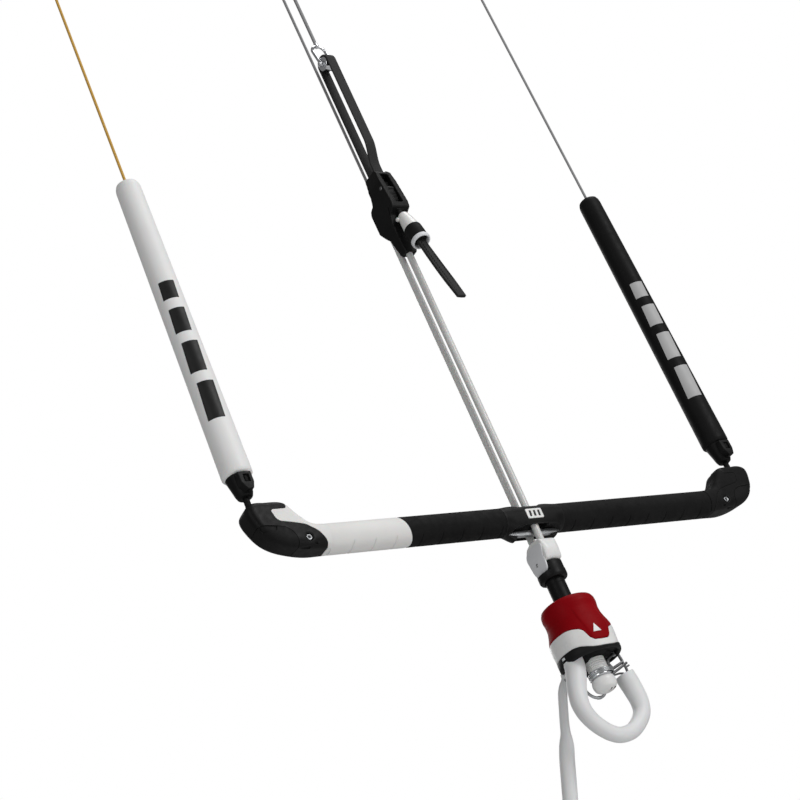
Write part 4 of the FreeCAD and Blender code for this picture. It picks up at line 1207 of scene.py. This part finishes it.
def release_base():
    """Black base: rim under the collar, coned underside with a boss, leash eye, stub, washer and cap."""
    levels = [("top", 16.0, 0), ("top", 25.4, 0), ("edge", 25.6, 0.55), ("edge", 26.8, -0.35),
              ("edge", 27.1, -0.9),
              ("low", 27.0, -133.9), ("low", 26.6, -134.9), ("low", 25.4, -136.0), ("low", 24.6, -136.1),
              ("dish", 23.8, -135.2), ("dish", 22.5, -132.5), ("dish", 16.0, -131.8),
              ("dish", 11.4, -134.4),
              ("dish", 9.8, -137.4), ("dish", 7.0, -137.6), ("top", 7.0, 0)]
    rings = []
    for kind, radius, value in levels:
        ring = []
        for angle in round_angles(ROUND):
            edge = collar_low(signed(angle))
            z = {"top": -124.8, "edge": edge + value, "dish": value,
                 "low": min(value, edge - 1.0 - 0.2 * (-133.9 - value))}[kind]
            ring.append((radius * math.cos(angle), radius * math.sin(angle), z))
        rings.append(ring)
    socket = rounded([(8.7, -131.0), (9.5, -131.2), (9.5, -133.2), (8.7, -133.4)], 0.3)
    lug = slab(rounded([(10.2, -134), (15.8, -134), (15.8, -139.6), (14.4, -143.2), (11.6, -143.2),
                        (10.2, -139.6)],
                       1.2, True), 1.2, 5.2, "yz", 0.5)
    piece("release_base_moulding", *joined(skin(rings, closed=True),
                                           turned(socket, (LEG_X, 0, 0), segments=64), lug),
          "black_nylon", "quick_release", sharp=42, stands_for=["release_base"])
    stub = [(0, -136), (8.5, -136), (8.5, -138.2)]
    for height in (-138.8, -140.6, -142.4, -144.2):
        stub += [(8.5, height), (8.0, height - 0.35), (8.0, height - 0.65), (8.5, height - 1.0)]
    stub += [(8.3, -146.3), (0, -146.3)]
    piece("leash_stub_turned", *turned(rounded(stub, 0.2), STUB), "white_plastic", "quick_release",
          stands_for=["leash_stub"])
    washer = rounded([(0, -146.2), (9.2, -146.2), (9.9, -146.9), (9.9, -149.2), (9.2, -149.7),
                      (9.6, -150.4),
                      (9.6, -151.6), (8.6, -152.0), (7.2, -152.6), (0, -152.6)], 0.3)
    piece("stub_washer_turned", *turned(washer, STUB), "chrome", "quick_release",
          stands_for=["stub_washer"])
    dome = rounded([(0, -152.3), (7.6, -152.3), (9.4, -153.2), (10.2, -155.4), (10.2, -158.6),
                    (9.4, -161.6),
                    (7.0, -163.6), (4.2, -164.6), (0, -165.0)], 1.4)
    cap = raw("stub_cap_moulding", turned(dome, STUB, segments=120))
    slots = [box_at((x - 0.8, -9.0, -167.5), (x + 0.8, -4.4, -163.2), 0.3) for x in (0.6, 4.4)]
    combine(cap, "DIFFERENCE", *slots)
    dress(cap, "white_plastic", "quick_release", stands_for=["stub_cap"])
    # Black blocks at the top of the cap's two slots: painted shade in the slots.
    slot_shade_blocks = [box_at((x - 0.7, -8.8, -164.0), (x + 0.7, -4.6, -162.9), 0.2) for x in (0.6, 4.4)]
    piece("cap_slot_painted_shade", *joined(*slot_shade_blocks), "black_rubber", "quick_release", "black_nylon")
    coil = []
    for step in range(46):
        turn_by = math.radians(200 + step * 22)
        radius = 10.3 + 1.0 * math.cos(turn_by)
        coil.append((radius * math.cos(turn_by), -3 + radius * math.sin(turn_by), -147.2 - 0.075 * step,
                     1.3))
    coil.append((13.4, 2.0, -151.6, 1.3))
    piece("stub_spring_wire", *tube(coil, 14, 3), "steel", "quick_release")


release_base()


def wire(points, dia, closed=False, radius=1.6):
    """Bent wire through corners with small bends."""
    flat = [np.array(p, float) for p in points]
    out = []
    count = len(flat)
    for i, here in enumerate(flat):
        if not closed and i in (0, count - 1):
            out.append(here)
            continue
        before, after = flat[i - 1] - here, flat[(i + 1) % count] - here
        cut = min(radius, 0.4 * np.linalg.norm(before), 0.4 * np.linalg.norm(after))
        start = here + before / np.linalg.norm(before) * cut
        end = here + after / np.linalg.norm(after) * cut
        for t in np.linspace(0, 1, 5):
            out.append((1 - t) ** 2 * start + 2 * t * (1 - t) * here + t ** 2 * end)
    if closed:
        out.append(out[0])
    return tube([(*p, dia) for p in out], 16, 1)


def chicken_loop():
    """White moulded loop with a flat cut at its free end, where a bent wire bail comes out."""
    stations = [(-18.6, 0, -129.3, 17.2), (-18.7, 0, -133.3, 17.2), (-19.1, 0, -137.6, 17.2),
                (-20.5, 0, -142.4, 17.1),
                (-23.1, 0, -148.3, 16.9), (-25.9, 0, -154.6, 16.3), (-28.4, 0, -161.5, 15.6),
                (-30.1, 0, -169, 14.9),
                (-29.5, 0, -177.2, 14.1), (-26.1, 0, -185.1, 13.5), (-20.6, 0, -192.1, 13.2),
                (-13.1, 0, -198.1, 13.0), (-3.9, 0, -201.3, 12.9), (8.3, 0, -199.8, 13.0),
                (18.9, 0, -193.8, 13.4),
                (26.9, 0, -185.7, 14.2), (29.7, 0, -176.1, 15.3), (29.3, 0, -166.9, 16.3),
                (28.0, 0, -157.8, 17.0),
                (26.8, 0, -151.3, 16.9)]
    piece("loop_moulding", *tube(stations, 72, 8, round_ends=(False, False)), "white_pu", "chicken_loop",
          stands_for=["chicken_loop"], sharp=50)
    # The end disc is grey: painted shade on the loop's free end.
    cut_face = rounded([(0, -0.6), (7.6, -0.6), (8.0, -0.1), (7.2, 0.25), (3.2, 0.1), (2.8, -0.3),
                        (0, -0.35)], 0.2)
    lean = Matrix.Rotation(math.radians(-10.5), 3, "Y")
    piece("loop_cut_face", *turned(cut_face, (26.8, 0, -151.3), lean, 64), "cut_pu", "chicken_loop",
          "white_pu")
    front = -5.0
    bail = wire([(24.9, front, -131.8), (26.7, front, -142.0), (13.5, front, -146.5),
                 (9.8, front, -139.0)], 2.5,
                closed=True)
    cross = wire([(6.3, front - 1.8, -152.6), (17.0, front - 1.6, -148.6), (28.6, front - 1.4, -143.9)],
                 2.2)
    lower = wire([(8.6, front - 3.6, -153.7), (17.5, front, -151.6), (23.4, front + 1, -151.6),
                  (26.5, -3, -154.5)],
                 1.7)
    rear = wire([(26.0, front, -141.6), (28.6, -3.6, -146.4), (28.8, -2.6, -153.0)], 2.3)
    hook = wire([(28.2, -3.9, -146.4), (32.3, -3.9, -145.3)], 1.6)
    piece("loop_bail_wires", *joined(bail, cross, lower, rear, hook), "dark_steel", "chicken_loop",
          "steel",
          stands_for=["loop_bail"])


chicken_loop()


def finger():
    """Moulded finger: slim neck, long swollen end with a soft tip."""
    stations = [(-15.2, 19.2, -134.8, 7.4), (-16.0, 20.0, -139.6, 7.6), (-19.8, 22, -144.6, 7.7),
                (-22.6, 23.5, -150.2, 7.7), (-26.0, 26, -161.7, 7.7), (-29.2, 28.5, -173.2, 7.8),
                (-30.6, 30, -180.0, 8.4), (-32.0, 31.4, -186.0, 10.8), (-33.8, 32.8, -192.0, 12.4),
                (-36.3, 35.5, -201.3, 12.6), (-38.4, 39, -212.2, 12.6), (-41.7, 44, -228.4, 12.6),
                (-45.1, 49, -244.6, 12.4), (-46.6, 51.2, -252.0, 11.6)]
    piece("finger_moulding", *tube(stations, 56, 6, round_ends=(False, True)), "white_pu", "finger",
          stands_for=["finger"], sharp=60)


finger()

RING_X, RING_Y, RING_Z, RING_REACH = 3.2, 13.0, -151.2, 11.0
ring_path = []
for k, turn_by in enumerate([*round_angles(48), 2 * math.pi]):
    weld = 0.5 if k in (23, 24, 25) else 0.0
    ring_path.append((RING_X + RING_REACH * math.sin(turn_by), RING_Y,
                      RING_Z + RING_REACH * math.cos(turn_by),
                      2.5 + weld))
piece("leash_ring_welded", *tube(ring_path, 24, 1, round_ends=(False, False)), "steel", "leash_ring",
      stands_for=["leash_ring"])

for node, look in (("left_core_tube", "alloy"), ("right_core_tube", "alloy"), ("load_line", "load_line"),
                   ("slider_barrel", "black_nylon"), ("cleat_pin", "steel"),
                   ("finger_hinge_pin", "steel"),
                   ("latch_pins", "steel"), ("loop_spindle", "steel")):
    nodes[node].data.materials.clear()
    nodes[node].data.materials.append(LOOKS[look])

# ---------------------------------------------------------------- stage and light

FLOOR_Z = -1.5
floor_mesh = bpy.data.meshes.new("floor")
floor_mesh.from_pydata([(-6, -6, FLOOR_Z), (6, -6, FLOOR_Z), (6, 6, FLOOR_Z), (-6, 6, FLOOR_Z)], [],
                       [(0, 1, 2, 3)])
floor = linked("floor", floor_mesh)
floor_mesh.materials.append(surface("floor_paint", (0.8, 0.8, 0.8), 0.8, 40, 0.02, 0.01))

world = bpy.data.worlds.new("studio")
scene.world = world
world.use_nodes = True
sky = world.node_tree
back = sky.nodes["Background"]
back.inputs["Color"].default_value = (1, 1, 1, 1)
back.inputs["Strength"].default_value = 0.2
seen = add(sky, "ShaderNodeBackground", Strength=1.0)
seen.inputs["Color"].default_value = (1, 1, 1, 1)
path = add(sky, "ShaderNodeLightPath")
choose = add(sky, "ShaderNodeMixShader")
sky.links.new(path.outputs["Is Camera Ray"], choose.inputs[0])
sky.links.new(back.outputs[0], choose.inputs[1])
sky.links.new(seen.outputs[0], choose.inputs[2])
sky.links.new(choose.outputs[0], sky.nodes["World Output"].inputs["Surface"])


def lamp(name, at, size, power):
    """A soft box aimed at the middle of the bar."""
    light = bpy.data.lights.new(name, "AREA")
    light.shape = "RECTANGLE"
    light.size, light.size_y = size
    light.energy = power
    obj = linked(name, light)
    obj.location = at
    obj.rotation_euler = (MIDDLE - Vector(at)).to_track_quat("-Z", "Y").to_euler()


MIDDLE = Vector((0, 0, -0.6))
lamp("key", (0.7, -2.0, 0.3), (1.1, 0.9), 25)
lamp("fill", (-1.8, -0.9, -0.4), (0.9, 1.4), 7)
lamp("above", (0.9, -0.6, 1.6), (1.0, 1.0), 16)
lamp("below", (0.2, -1.2, -1.35), (0.8, 0.6), 3)
lamp("behind", (0.8, 2.0, 0.4), (1.8, 1.2), 12)
scene.view_settings.view_transform = "Standard"
